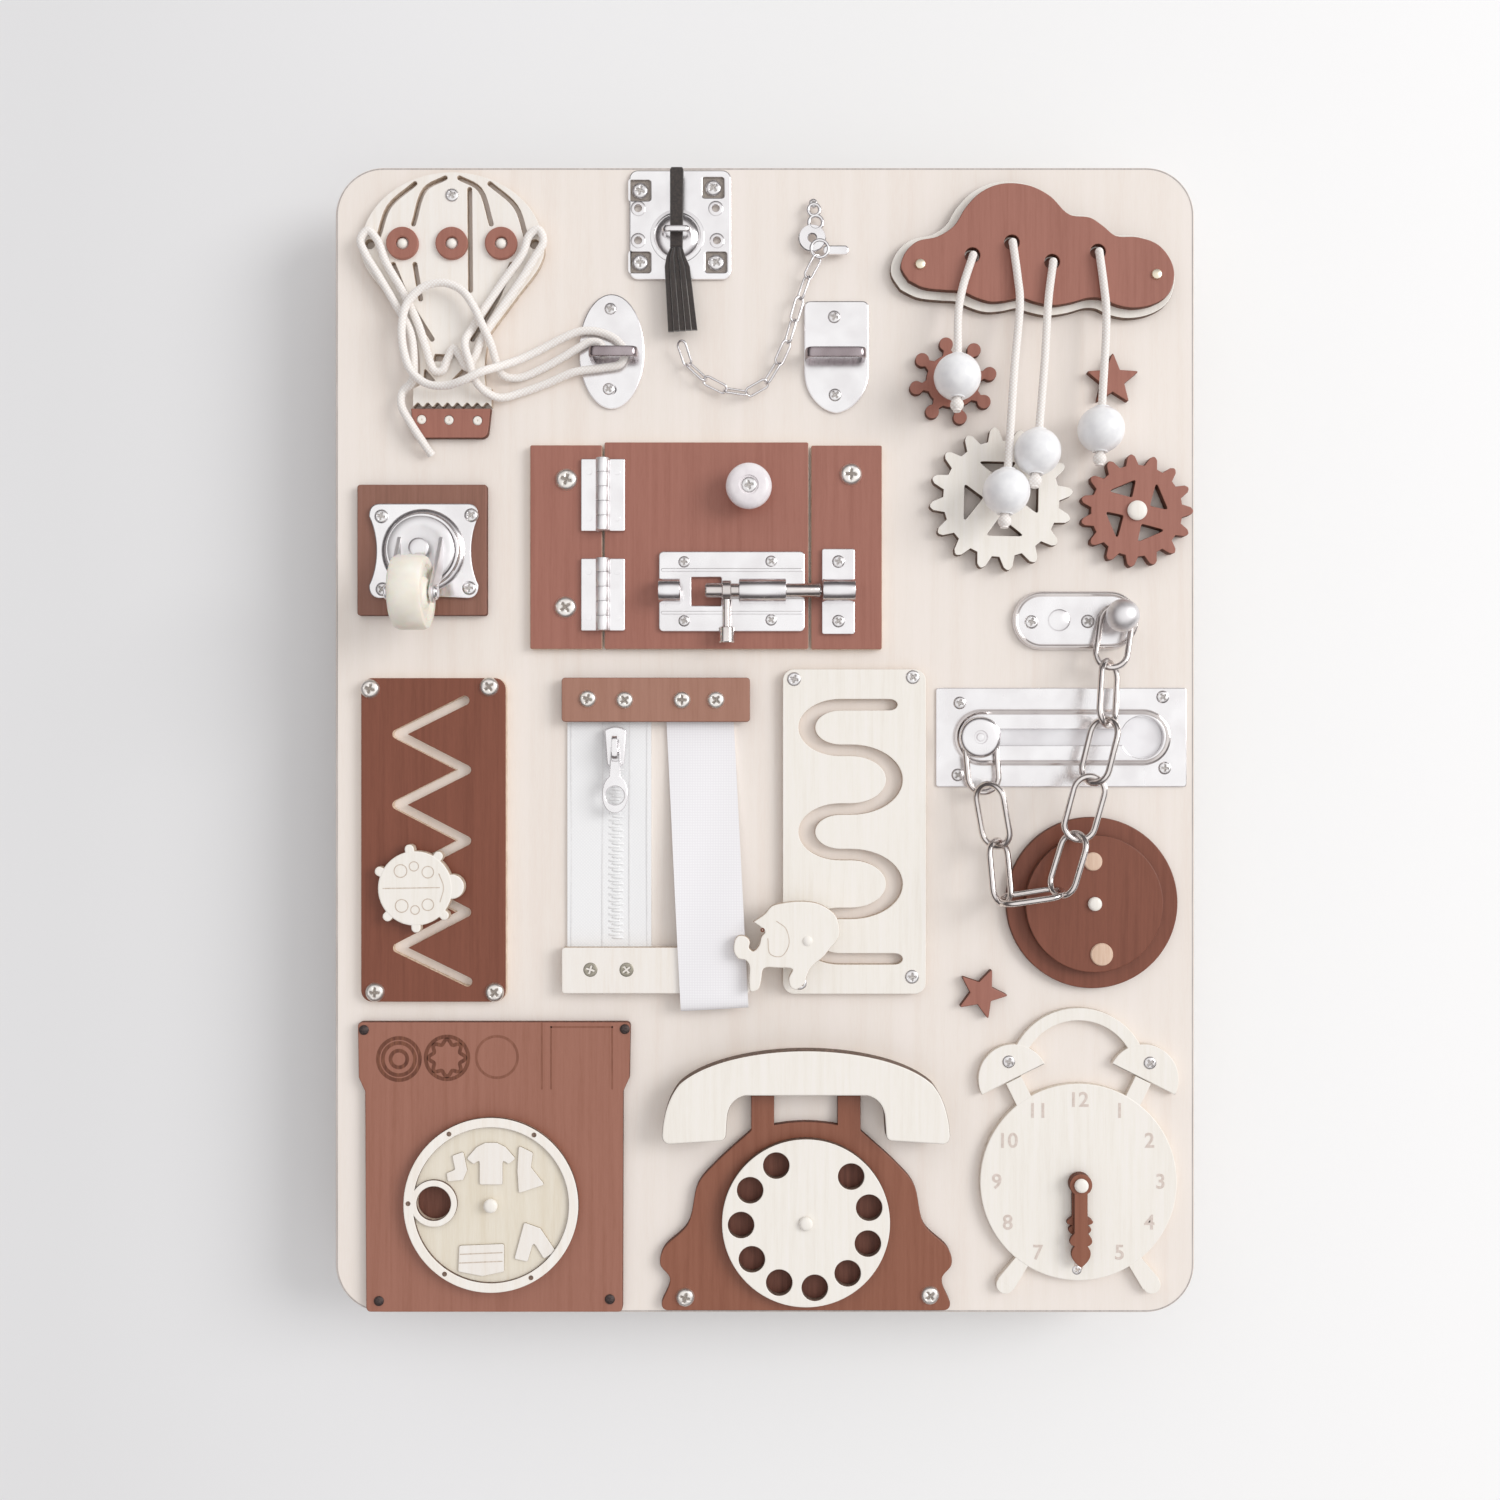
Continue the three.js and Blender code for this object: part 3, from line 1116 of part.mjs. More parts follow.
addPiece('phone_dial', phoneDial(), paleWood, ...PLACES.dial, UPPER_Z);

function handsetShape() {
  const shape = new THREE.Shape();
  shape.moveTo(-21, 0);
  shape.lineTo(21, 0);
  shape.quadraticCurveTo(26.4, -1.4, 27, -7.4);
  shape.lineTo(27.4, -13.4);
  shape.quadraticCurveTo(27.6, -15.3, 29.6, -15.5);
  shape.lineTo(46.6, -16.6);
  shape.quadraticCurveTo(49.2, -16.6, 49.4, -13.6);
  shape.quadraticCurveTo(48.8, -2.4, 43.4, 4);
  shape.bezierCurveTo(35, 11.6, 17, 15.4, 0, 15.4);
  shape.bezierCurveTo(-17, 15.4, -35, 11.6, -43.4, 4);
  shape.quadraticCurveTo(-48.8, -2.4, -49.4, -13.6);
  shape.quadraticCurveTo(-49.2, -16.6, -46.6, -16.6);
  shape.lineTo(-29.6, -15.5);
  shape.quadraticCurveTo(-27.6, -15.3, -27.4, -13.4);
  shape.lineTo(-27, -7.4);
  shape.quadraticCurveTo(-26.4, -1.4, -21, 0);
  return shape;
}

addPiece('phone_handset', slab(handsetShape(), PLY + GAP, PLY + GAP + 6, 5), birch, 14, -122);

// Alarm clock: one plate with bells, handle and feet, and two hands
const CLOCK_RADIUS = 34.2;

function clockFace() {
  const plate = slab(disc(CLOCK_RADIUS), 0, PLY, 16);
  const bells = [-1, 1].map((hand) => {
    const dome = new THREE.Shape();
    dome.moveTo(-12.2, 0);
    dome.lineTo(12.2, 0);
    dome.absarc(0, 0, 12.2, 0, Math.PI);
    const bell = slab(dome, 0, PLY, 7);
    const post = slab(polygon([[-3, -9], [3, -9], [3, 2], [-3, 2]]), 0, PLY);
    return moved(join(bell, post).rotateZ(-hand * 0.46), hand * 22.6, 35.6);
  });
  const arch = new THREE.Shape();
  arch.absarc(0, 36, 24.4, 0.18, Math.PI - 0.18);
  arch.absarc(0, 36, 20, Math.PI - 0.18, 0.18, true);
  const feet = [-1, 1].map((hand) => {
    const leg = slab(polygon([[-3.4, 0], [3.4, 0], [2.4, 13], [-2.4, 13]]), 0, PLY);
    const toe = slab(disc(3.2, 0, 0.4), 0, PLY, 4);
    return moved(join(leg, toe).rotateZ(hand * 0.62), hand * 25.6, -36);
  });
  const whole = join(plate, ...bells, slab(arch, 0, PLY, 9), ...feet);
  return cut(whole, rod(PIVOT.bore, -1, PLY + 1, 8));
}

addPiece('clock_face', clockFace(), birch, ...PLACES.clock);

function handShape(reach, hub, width, waist) {
  const shape = new THREE.Shape();
  shape.moveTo(-width / 2, 0);
  shape.lineTo(-width / 2, -reach * waist);
  shape.quadraticCurveTo(-width * 1.2, -reach * (waist + 0.12), -width * 0.5, -reach * (waist + 0.16));
  shape.quadraticCurveTo(-width * 1.15, -reach * 0.86, 0, -reach);
  shape.quadraticCurveTo(width * 1.15, -reach * 0.86, width * 0.5, -reach * (waist + 0.16));
  shape.quadraticCurveTo(width * 1.2, -reach * (waist + 0.12), width / 2, -reach * waist);
  shape.lineTo(width / 2, 0);
  return join(slab(shape, 0, 1.5, 3), slab(disc(hub), 0, 1.5, 6));
}

function clockHand(reach, hub, width, waist) {
  return cut(handShape(reach, hub, width, waist), rod(PIVOT.bore, -1, 3, 4));
}

addPiece('hour_hand', clockHand(19, 3.9, 5.4, 0.6), stained, ...PLACES.clock, UPPER_Z);
addPiece('minute_hand', clockHand(28.5, 3.9, 4.6, 0.58), stained, ...PLACES.clock, UPPER_Z + 1.5 + GAP);

const busyBoard = new THREE.Group();
busyBoard.add(face);

export default busyBoard;
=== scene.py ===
import math

import bmesh
import bpy
from mathutils import Matrix, Vector


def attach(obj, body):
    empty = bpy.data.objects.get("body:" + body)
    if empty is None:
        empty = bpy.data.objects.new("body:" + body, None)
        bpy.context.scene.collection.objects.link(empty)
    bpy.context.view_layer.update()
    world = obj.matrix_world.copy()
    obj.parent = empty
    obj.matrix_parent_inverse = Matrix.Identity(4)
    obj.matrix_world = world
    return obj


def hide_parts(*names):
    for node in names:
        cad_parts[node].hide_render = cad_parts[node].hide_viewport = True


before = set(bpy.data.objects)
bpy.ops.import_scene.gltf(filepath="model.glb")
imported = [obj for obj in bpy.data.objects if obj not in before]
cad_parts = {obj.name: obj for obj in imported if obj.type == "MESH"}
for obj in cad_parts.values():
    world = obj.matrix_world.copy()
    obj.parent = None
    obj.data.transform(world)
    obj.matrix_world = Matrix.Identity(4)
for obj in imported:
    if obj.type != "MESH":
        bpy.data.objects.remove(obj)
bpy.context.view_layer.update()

# The board's face is drawn in millimetres from the board's middle: x to the right, y up and
# z out of the face. One matrix stands that drawing up in the row frame, in metres.
MM = 0.001
FACE_Y = -10.0
FACE = Matrix(((MM, 0, 0, 0), (0, 0, -MM, FACE_Y * MM), (0, MM, 0, 0), (0, 0, 0, 1)))
TAU = 2 * math.pi

# Heights over the face: a ply piece, the gap under a turning one, pressed sheet and a burnt line
PLY = 3.0
LIFT = 0.5
UPPER = PLY + LIFT
SHEET = 1.25
BRACKET = PLY + SHEET
LINE = 0.03


def row(x, y, z=0.0):
    return FACE @ Vector((x, y, z))


# Camera: half a metre in front of the face, as the photograph's own parallax shows.
# The whole picture is 523.5 mm wide at the face.
CAMERA_DISTANCE = 500.0
PICTURE_WIDTH = 523.5
CAMERA_AIM = (-5.2, -3.5)
SENSOR = 36.0

camera_data = bpy.data.cameras.new("camera")
camera_data.sensor_width = SENSOR
camera_data.lens = SENSOR * CAMERA_DISTANCE / PICTURE_WIDTH
camera_data.clip_start = 0.01
camera = bpy.data.objects.new("camera", camera_data)
camera.location = row(*CAMERA_AIM, CAMERA_DISTANCE)
camera.rotation_euler = (math.radians(90), 0, 0)
bpy.context.collection.objects.link(camera)
bpy.context.scene.camera = camera


# Materials
def linear(code):
    parts = [int(code[i:i + 2], 16) / 255 for i in (1, 3, 5)]
    return [c / 12.92 if c <= 0.04045 else ((c + 0.055) / 1.055) ** 2.4 for c in parts] + [1.0]


def add_node(tree, kind, inputs=None, **settings):
    node = tree.nodes.new(kind)
    for key, value in settings.items():
        setattr(node, key, value)
    for key, value in (inputs or {}).items():
        if isinstance(value, bpy.types.NodeSocket):
            tree.links.new(value, node.inputs[key])
        else:
            node.inputs[key].default_value = value
    return node


# A material with its node tree, its shader and the object's own coordinates
def new_look(name, **values):
    look = bpy.data.materials.new(name)
    look.use_nodes = True
    tree = look.node_tree
    shader = tree.nodes["Principled BSDF"]
    for key, value in values.items():
        shader.inputs[key.replace("_", " ")].default_value = value
    return look, tree, shader, add_node(tree, "ShaderNodeTexCoord").outputs["Object"]


def stretched(tree, place, across, along):
    scale = (1 / (across * MM), 1 / (across * MM), 1 / (along * MM))
    return add_node(tree, "ShaderNodeMapping", {"Vector": place, "Scale": scale}).outputs["Vector"]


# grit is the size of one grain in millimetres; without it the coordinates carry the size
def noise(tree, place, grit=None, **values):
    inputs = {"Vector": place, "Scale": 1 / (grit * MM) if grit else 1.0, **values}
    return add_node(tree, "ShaderNodeTexNoise", inputs).outputs["Fac"]


def colour_ramp(tree, factor, stops):
    ramp = add_node(tree, "ShaderNodeValToRGB", {"Fac": factor})
    elements = ramp.color_ramp.elements
    while len(elements) < len(stops):
        elements.new(0.5)
    for element, (place, code) in zip(elements, stops):
        element.position = place
        element.color = linear(code)
    return ramp.outputs["Color"]


def rough_surface(tree, shader, height, depth_mm, strength):
    relief = {"Height": height, "Distance": depth_mm * MM, "Strength": strength}
    tree.links.new(add_node(tree, "ShaderNodeBump", relief).outputs["Normal"], shader.inputs["Normal"])


# One pattern gives the colour and, where depth_mm is set, the relief of the surface
def paint(tree, shader, pattern, stops, depth_mm=0.0, strength=0.6):
    tree.links.new(colour_ramp(tree, pattern, stops), shader.inputs["Base Color"])
    if depth_mm:
        rough_surface(tree, shader, pattern, depth_mm, strength)


# Sanded veneer: long soft streaks up the board and fine pores, with a thin satin lacquer.
# grain is the streak width and run its length, both in millimetres.
PORE = (0.45, 5)


def veneer(name, pale, middle, dark, grain, run, roughness=0.5, depth=0.02):
    look, tree, shader, place = new_look(name, Roughness=roughness)
    streak = noise(tree, stretched(tree, place, grain, run), Detail=3.0, Roughness=0.55, Distortion=0.4)
    speck = noise(tree, stretched(tree, place, *PORE), Detail=2.0, Roughness=0.6)
    both = add_node(tree, "ShaderNodeMix", {"Factor": 0.3, "A": streak, "B": speck}).outputs["Result"]
    paint(tree, shader, both, [(0.34, dark), (0.5, middle), (0.64, pale)], depth)
    return look


birch = veneer("sanded_birch_ply", "#f7f2ec", "#f5efe8", "#f1e9df", 2.6, 70, 0.5, 0.01)
birch_board = veneer("lacquered_birch_board", "#f5ece5", "#f3eae2", "#f0e5dc", 6.0, 150, 0.45, 0.01)
maple = veneer("turned_pale_maple", "#f8f3ed", "#f6f1e9", "#f2ece3", 1.8, 40, 0.42, 0.01)
stained = veneer("rosy_stained_birch_ply", "#a66e5f", "#a26a5b", "#9b6354", 1.9, 60)
warm_stain = veneer("tan_stained_birch_ply", "#a36e5c", "#9f6a58", "#986350", 1.9, 60)
light_stain = veneer("hazel_stained_birch_ply", "#aa7c6a", "#a67866", "#9f705d", 1.9, 60)
dark_stain = veneer("walnut_stained_birch_ply", "#945d47", "#8f5842", "#87503a", 1.7, 50)
deep_stain = veneer("dark_walnut_stained_ply", "#844b37", "#7f4733", "#77402c", 1.7, 50)
grey_stain = veneer("smoked_birch_ply", "#926657", "#8d6151", "#83594a", 1.5, 50)
stud_wood = veneer("oiled_beech_stud", "#e8cdb8", "#e0c1aa", "#d3b198", 1.4, 30, 0.45)
# Dark ply laid only in hollows, as painted shade seen through holes
painted_hole_shade = veneer("painted_hole_shade_ply", "#75483a", "#6b4032", "#5e3629", 1.4, 30, 0.7)
engraved = veneer("laser_engraved_line", "#86553f", "#744635", "#613729", 1.0, 6, 0.8)
faint_line = veneer("lightly_engraved_line", "#95624f", "#8c5a48", "#80503f", 1.0, 6, 0.8)
engraved_pale = veneer("laser_engraved_birch", "#dccfc2", "#d2c3b4", "#c4b3a2", 1.0, 6, 0.8)
rim_line = veneer("grey_line_round_rim", "#c9c1bd", "#bab1ad", "#a9a09c", 1.0, 30, 0.6)
cream_relief = veneer("cut_cream_birch", "#efe7d8", "#ebe2d1", "#e5dac6", 3.0, 60)
rim_paint = veneer("white_sealed_birch", "#faf6f0", "#f8f2ea", "#f4ece2", 2.4, 60, 0.42, 0.01)
# Cut edges, from clean sawn to burnt by the laser
ply_edge = veneer("sanded_ply_layers", "#ddd4ca", "#c9beb2", "#a79b8e", 1.0, 90, 0.6, 0.03)
birch_edge = veneer("sawn_birch_ply_edge", "#ece3d8", "#dfd4c7", "#cbbdad", 0.8, 4, 0.6, 0.03)
pale_cut = veneer("clean_cut_birch_edge", "#e8d6c4", "#d6bfa8", "#b5967a", 1.0, 4, 0.6, 0.03)
# The relief edge is a cut edge's colour, greyed further as painted shade round the low reliefs
relief_edge = veneer("cut_and_shaded_relief_edge", "#bfb4a3", "#aa9e8c", "#918472", 1.0, 4, 0.7, 0.03)
burnt_birch = veneer("laser_cut_birch_edge", "#dccdbd", "#c6b3a0", "#a8937f", 1.0, 3, 0.7, 0.03)
burnt_stain = veneer("laser_cut_stained_edge", "#7b4a38", "#653a2a", "#4a281b", 1.0, 3, 0.7, 0.03)
scorched = veneer("deep_burnt_birch_edge", "#8b7566", "#6f5a4e", "#524138", 1.0, 3, 0.75, 0.03)

# The face of a ply piece and its cut edge
WOOD = [birch, burnt_birch]
STAIN = [stained, burnt_stain]
DOOR = [stained, pale_cut]
DEEP = [deep_stain, burnt_stain]
DARK = [dark_stain, burnt_stain]
PALE = [maple, burnt_birch]
SCORCHED = [maple, scorched]
CLOCK = [maple, birch_edge]


# Bright zinc plate on steel: a soft mirror with faint rolling marks and a slow bloom
ROLLING = 9
BLOOM = 12


def plated(name, code, shade, roughness, grain=1.6):
    look, tree, shader, place = new_look(name, Metallic=1.0, Roughness=roughness)
    marks = noise(tree, stretched(tree, place, grain, ROLLING), Detail=2.0)
    span = {"Value": marks, "To Min": roughness - 0.05, "To Max": roughness + 0.1}
    polish = add_node(tree, "ShaderNodeMapRange", span)
    tree.links.new(polish.outputs["Result"], shader.inputs["Roughness"])
    rough_surface(tree, shader, marks, 0.004, 0.15)
    paint(tree, shader, noise(tree, place, BLOOM), [(0.35, shade), (0.62, code)])
    return look


steel = plated("zinc_plated_steel", "#f6f4f5", "#ece9ea", 0.22)
satin_steel = plated("satin_zinc_steel", "#f8f6f7", "#f1eff0", 0.48)
wire_steel = plated("bright_steel_wire", "#ebe5e2", "#dcd5d2", 0.18)
# A darker copy of the plated steel for the staples: painted shade
staple_steel = plated("painted_shade_staple_steel", "#b3a8ab", "#9b8f92", 0.24)
# A darker copy of the plated steel for the track's floor: painted shade in the groove
rail_floor = plated("painted_shade_track_steel", "#eceaec", "#dcd9db", 0.35)
screw_steel = plated("plated_screw_steel", "#f4f2f2", "#e8e5e5", 0.34, 1.2)
brass = plated("brass_plated_screw", "#f6eedd", "#ece1c8", 0.4, 1.2)
maple_cap = plated("nickel_plated_screw", "#f8f4ef", "#efe9e3", 0.38, 1.2)
tarnished = plated("tarnished_zinc_screw", "#b3ad9f", "#9c9688", 0.45, 0.8)


# Small dull things: a fine mottle over one colour, at the size of its grit in millimetres
def mottled(name, pale, dark, grit, roughness, metallic=0.0):
    look, tree, shader, place = new_look(name, Roughness=roughness, Metallic=metallic)
    paint(tree, shader, noise(tree, place, grit, Detail=3.0), [(0.35, dark), (0.65, pale)], 0.03, 0.5)
    return look


# Screw recesses and sockets in painted shade, deep and light
slot_dark = mottled("shadowed_screw_recess", "#a59b92", "#8d837b", 0.4, 0.6)
slot_pale = mottled("lightly_shaded_screw_recess", "#cfcac6", "#bdb7b3", 0.4, 0.6)
iron_nail = mottled("blued_iron_nail", "#5c4f4b", "#43393a", 0.5, 0.5, 0.6)
thread_line = mottled("sewn_cotton_thread", "#f4f3f3", "#ebeaea", 0.6, 0.9)
numeral_line = mottled("pale_burnt_numeral", "#e2d5cd", "#d4c5bb", 0.8, 0.8)
zip_nylon = mottled("moulded_zip_coil", "#f8f8f8", "#f2f2f2", 0.7, 0.45)


# Moulded nylon: translucent and slightly cloudy, with a soft sheen
def nylon_look():
    look, tree, shader, place = new_look("translucent_moulded_nylon", Roughness=0.38,
                                         Subsurface_Weight=0.35, Subsurface_Scale=2 * MM)
    paint(tree, shader, noise(tree, place, 7), [(0.3, "#ece7da"), (0.7, "#f7f2e8")])
    return look


# Sprayed gloss enamel on turned wood: smooth, with the slight ripple of a dipped coat
def enamel_look(name, pale, deep):
    look, tree, shader, place = new_look(name, Roughness=0.28, Coat_Weight=0.3)
    paint(tree, shader, noise(tree, place, 3), [(0.35, deep), (0.65, pale)], 0.04, 0.4)
    return look


# Suede split: near-black brown, with a brushed nap that catches the light
def suede_look():
    look, tree, shader, place = new_look("brushed_suede", Roughness=0.95, Sheen_Weight=0.5,
                                         Sheen_Roughness=0.6)
    nap = noise(tree, place, 0.7, Detail=4.0, Roughness=0.7)
    paint(tree, shader, nap, [(0.35, "#1f1917"), (0.65, "#3f342f")], 0.12, 0.7)
    return look


# Cotton: a pale thread pattern, drawn coarser than the real one so that it shows.
# thread is the width of one crossing in millimetres; two waves cross in a diamond or square.
WAVE_TO_MM = 0.314


def cotton_look(name, pale, shade, thread, turns, depth):
    look, tree, shader, place = new_look(name, Roughness=0.9, Sheen_Weight=0.25, Sheen_Roughness=0.5)
    waves = []
    for turn in turns:
        lie = add_node(tree, "ShaderNodeMapping",
                       {"Vector": place, "Rotation": (0, math.radians(turn), 0)})
        thread_wave = {"Vector": lie.outputs["Vector"], "Scale": WAVE_TO_MM / (thread * MM),
                       "Distortion": 0.6, "Detail": 1.0}
        waves.append(add_node(tree, "ShaderNodeTexWave", thread_wave).outputs["Fac"])
    weave = add_node(tree, "ShaderNodeMath", {0: waves[0], 1: waves[1]}, operation="MULTIPLY")
    paint(tree, shader, weave.outputs["Value"], [(0.0, shade), (0.55, pale)], depth, 0.5)
    return look


nylon = nylon_look()
enamel = enamel_look("white_dipped_enamel", "#f9f9fa", "#f2f2f4")
knob_enamel = enamel_look("blush_white_knob_enamel", "#f4eef0", "#ece5e8")
suede = suede_look()
cord_cotton = cotton_look("plaited_cotton_cord", "#faf7f4", "#eee7e1", 0.9, (45, -45), 0.1)
tape_cotton = cotton_look("herringbone_cotton_tape", "#f9f9f9", "#f3f3f4", 0.8, (45, -45), 0.02)
band_cotton = cotton_look("ribbed_cotton_webbing", "#f9f8fa", "#f3f1f4", 0.9, (0, 90), 0.02)


# Making pieces. looks is one material, or the face's and the cut edge's.
def finish_piece(name, mesh, looks, body, node=None, crease=38):
    looks = looks if isinstance(looks, list) else [looks]
    for look in looks:
        mesh.materials.append(look)
    mesh.polygons.foreach_set("use_smooth", [True] * len(mesh.polygons))
    mesh.set_sharp_from_angle(angle=math.radians(crease))
    piece = bpy.data.objects.new(name, mesh)
    bpy.context.collection.objects.link(piece)
    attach(piece, body)
    if node:
        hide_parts(node)
    return piece


def mesh_from(name, points, faces, matrix=FACE):
    mesh = bpy.data.meshes.new(name)
    mesh.from_pydata([tuple(matrix @ Vector(p)) for p in points], [], faces)
    mesh.validate()
    solid = bmesh.new()
    solid.from_mesh(mesh)
    bmesh.ops.recalc_face_normals(solid, faces=solid.faces)
    solid.to_mesh(mesh)
    solid.free()
    return mesh


# A flat face keeps its own plain normals, so that no shade runs into it from the eased edges
def sharpen_flats(mesh, facing):
    beside = {}
    for face in mesh.polygons:
        flat = abs(face.normal.dot(facing)) > 0.999
        for key in face.edge_keys:
            beside.setdefault(key, set()).add(flat)
    for edge in mesh.edges:
        if len(beside.get(edge.key, ())) > 1:
            edge.use_edge_sharp = True


# A flat plate from closed outlines, the first its rim and the others holes, with eased edges.
# at moves the outlines by x and y, and turns them where it has a third number.
def plate(name, outlines, low, high, looks, body="board", node=None, ease=0.35, at=None, matrix=FACE):
    shape = bpy.data.curves.new(name, "CURVE")
    shape.dimensions = "2D"
    shape.fill_mode = "BOTH"
    shape.extrude = (high - low) / 2 - ease
    shape.bevel_depth = ease
    shape.bevel_resolution = 1
    shape.offset = -ease
    for outline in outlines:
        outline = shifted(outline, *at) if at else outline
        line = shape.splines.new("POLY")
        line.points.add(len(outline) - 1)
        for point, (x, y) in zip(line.points, outline):
            point.co = (x, y, 0, 1)
        line.use_cyclic_u = True
    pattern = bpy.data.objects.new(name + "_pattern", shape)
    mesh = bpy.data.meshes.new_from_object(pattern)
    bpy.data.objects.remove(pattern)
    mesh.name = name
    mesh.materials.clear()
    mesh.transform(matrix @ Matrix.Translation((0, 0, (low + high) / 2)))
    solid = bmesh.new()
    solid.from_mesh(mesh)
    bmesh.ops.remove_doubles(solid, verts=solid.verts, dist=1e-7)
    bmesh.ops.recalc_face_normals(solid, faces=solid.faces)
    facing = matrix.to_3x3() @ Vector((0, 0, 1))
    facing.normalize()
    for face in solid.faces:
        face.material_index = 1 if isinstance(looks, list) and abs(face.normal.dot(facing)) < 0.5 else 0
    solid.to_mesh(mesh)
    solid.free()
    piece = finish_piece(name, mesh, looks, body, node)
    sharpen_flats(mesh, facing)
    return piece


# Four-sided faces between rows of points, each row a closed loop of that many points
def skin(rows, loop, closed=False, start=0):
    faces = []
    for k in range(rows if closed else rows - 1):
        a, b = start + k * loop, start + (k + 1) % rows * loop
        faces += [(a + i, a + (i + 1) % loop, b + (i + 1) % loop, b + i) for i in range(loop)]
    return faces


# A profile of radius and height turned about z, closed by flat ends unless it ends where it starts
def turned(name, profile, look, body="board", node=None, at=(0, 0), turns=48, matrix=None):
    points = [(*polar(r, TAU * i / turns), z) for r, z in profile for i in range(turns)]
    faces = skin(len(profile), turns)
    if profile[0] != profile[-1]:
        faces += [tuple(range(turns)), tuple(range(len(points) - turns, len(points)))]
    place = Matrix.Translation(Vector(at).to_3d()) @ (matrix or Matrix.Identity(4))
    return finish_piece(name, mesh_from(name, points, faces, FACE @ place), look, body, node)


def studs(name, spots, profile, look, body="board", turns=24):
    for number, spot in enumerate(spots, 1):
        turned(f"{name}_{number}", profile, look, body, at=spot, turns=turns)


def ball(name, centre, radius, look, body="board"):
    angles = [math.radians(180 * i / 14) for i in range(15)]
    profile = [(max(0.02, radius * math.sin(a)), -radius * math.cos(a)) for a in angles]
    return turned(name, profile, look, body, at=centre, turns=24)


# Round bars, each along a line of points, with flat ends or closed into a ring
def bar(name, lines, radius, look, body="board", node=None, closed=False, sides=12):
    points = []
    faces = []
    for line in lines:
        start = len(points)
        line = [Vector(p) for p in line]
        count = len(line)
        normal = None
        for i, point in enumerate(line):
            before = line[i - 1] if closed or i > 0 else point
            after = line[(i + 1) % count] if closed or i < count - 1 else point
            along = (after - before).normalized()
            if normal is None:
                normal = along.orthogonal().normalized()
            normal = (normal - along * normal.dot(along)).normalized()
            side = along.cross(normal)
            for k in range(sides):
                angle = TAU * k / sides
                points.append(point + radius * (math.cos(angle) * normal + math.sin(angle) * side))
        faces += skin(count, sides, closed, start)
        if not closed:
            faces += [tuple(range(start, start + sides)), tuple(range(len(points) - sides, len(points)))]
    return finish_piece(name, mesh_from(name, points, faces), look, body, node)


# Outlines, all in millimetres on the face
def polar(r, angle, x=0.0, y=0.0):
    return x + r * math.cos(angle), y + r * math.sin(angle)


def arc(cx, cy, r, start, end, steps=16):
    spots = [math.radians(start + (end - start) * i / steps) for i in range(steps + 1)]
    return [polar(r, a, cx, cy) for a in spots]


def ring(cx, cy, r, steps=None):
    return arc(cx, cy, r, 0, 360, steps or max(16, int(r * 5)))[:-1]


def oval(cx, cy, rx, ry, steps):
    angles = [TAU * i / steps for i in range(steps)]
    return [(cx + rx * math.cos(a), cy + ry * math.sin(a)) for a in angles]


def bend(p0, c0, c1, p1, steps=12):
    out = []
    for i in range(steps + 1):
        t = i / steps
        a, b, c, d = (1 - t) ** 3, 3 * t * (1 - t) ** 2, 3 * t * t * (1 - t), t ** 3
        out.append(tuple(a * p0[n] + b * c0[n] + c * c1[n] + d * p1[n] for n in (0, 1)))
    return out


def bow(p0, c, p1, steps=10):
    lead = [(p0[i] + 2 * (c[i] - p0[i]) / 3) for i in (0, 1)]
    tail = [(p1[i] + 2 * (c[i] - p1[i]) / 3) for i in (0, 1)]
    return bend(p0, lead, tail, p1, steps)


def distinct(points, least):
    return [i for i, p in enumerate(points) if math.dist(p, points[i - 1]) > least]


# Corners rounded to radius, each with its own where radius is a list
def rounded(points, radius, steps=6):
    kept = distinct(points, 1e-4)
    radii = [radius[i] if isinstance(radius, list) else radius for i in kept]
    points = [points[i] for i in kept]
    out = []
    for i, r in enumerate(radii):
        here = Vector(points[i])
        to_last = Vector(points[i - 1]) - here
        to_next = Vector(points[(i + 1) % len(points)]) - here
        half = to_last.angle(to_next) / 2
        if r <= 0 or half > math.radians(88):
            out.append(tuple(here))
            continue
        reach = min(r / math.tan(half), to_last.length * 0.49, to_next.length * 0.49)
        start = here + to_last.normalized() * reach
        end = here + to_next.normalized() * reach
        out += bow(tuple(start), tuple(here), tuple(end), steps)
    return out


def round_corners(x0, x1, y0, y1, r, steps=12):
    return (arc(x1 - r, y0 + r, r, -90, 0, steps) + arc(x1 - r, y1 - r, r, 0, 90, steps)
            + arc(x0 + r, y1 - r, r, 90, 180, steps) + arc(x0 + r, y0 + r, r, 180, 270, steps))


def boxed(cx, cy, width, height, r, steps=8):
    return round_corners(cx - width / 2, cx + width / 2, cy - height / 2, cy + height / 2, r, steps)


def mirrored(points):
    return [(-x, y) for x, y in reversed(points)]


def shifted(points, dx, dy, turn=0.0):
    c, s = math.cos(turn), math.sin(turn)
    return [(dx + c * x - s * y, dy + s * x + c * y) for x, y in points]


def offsets(place, spots):
    return [(place[0] + x, place[1] + y) for x, y in spots]


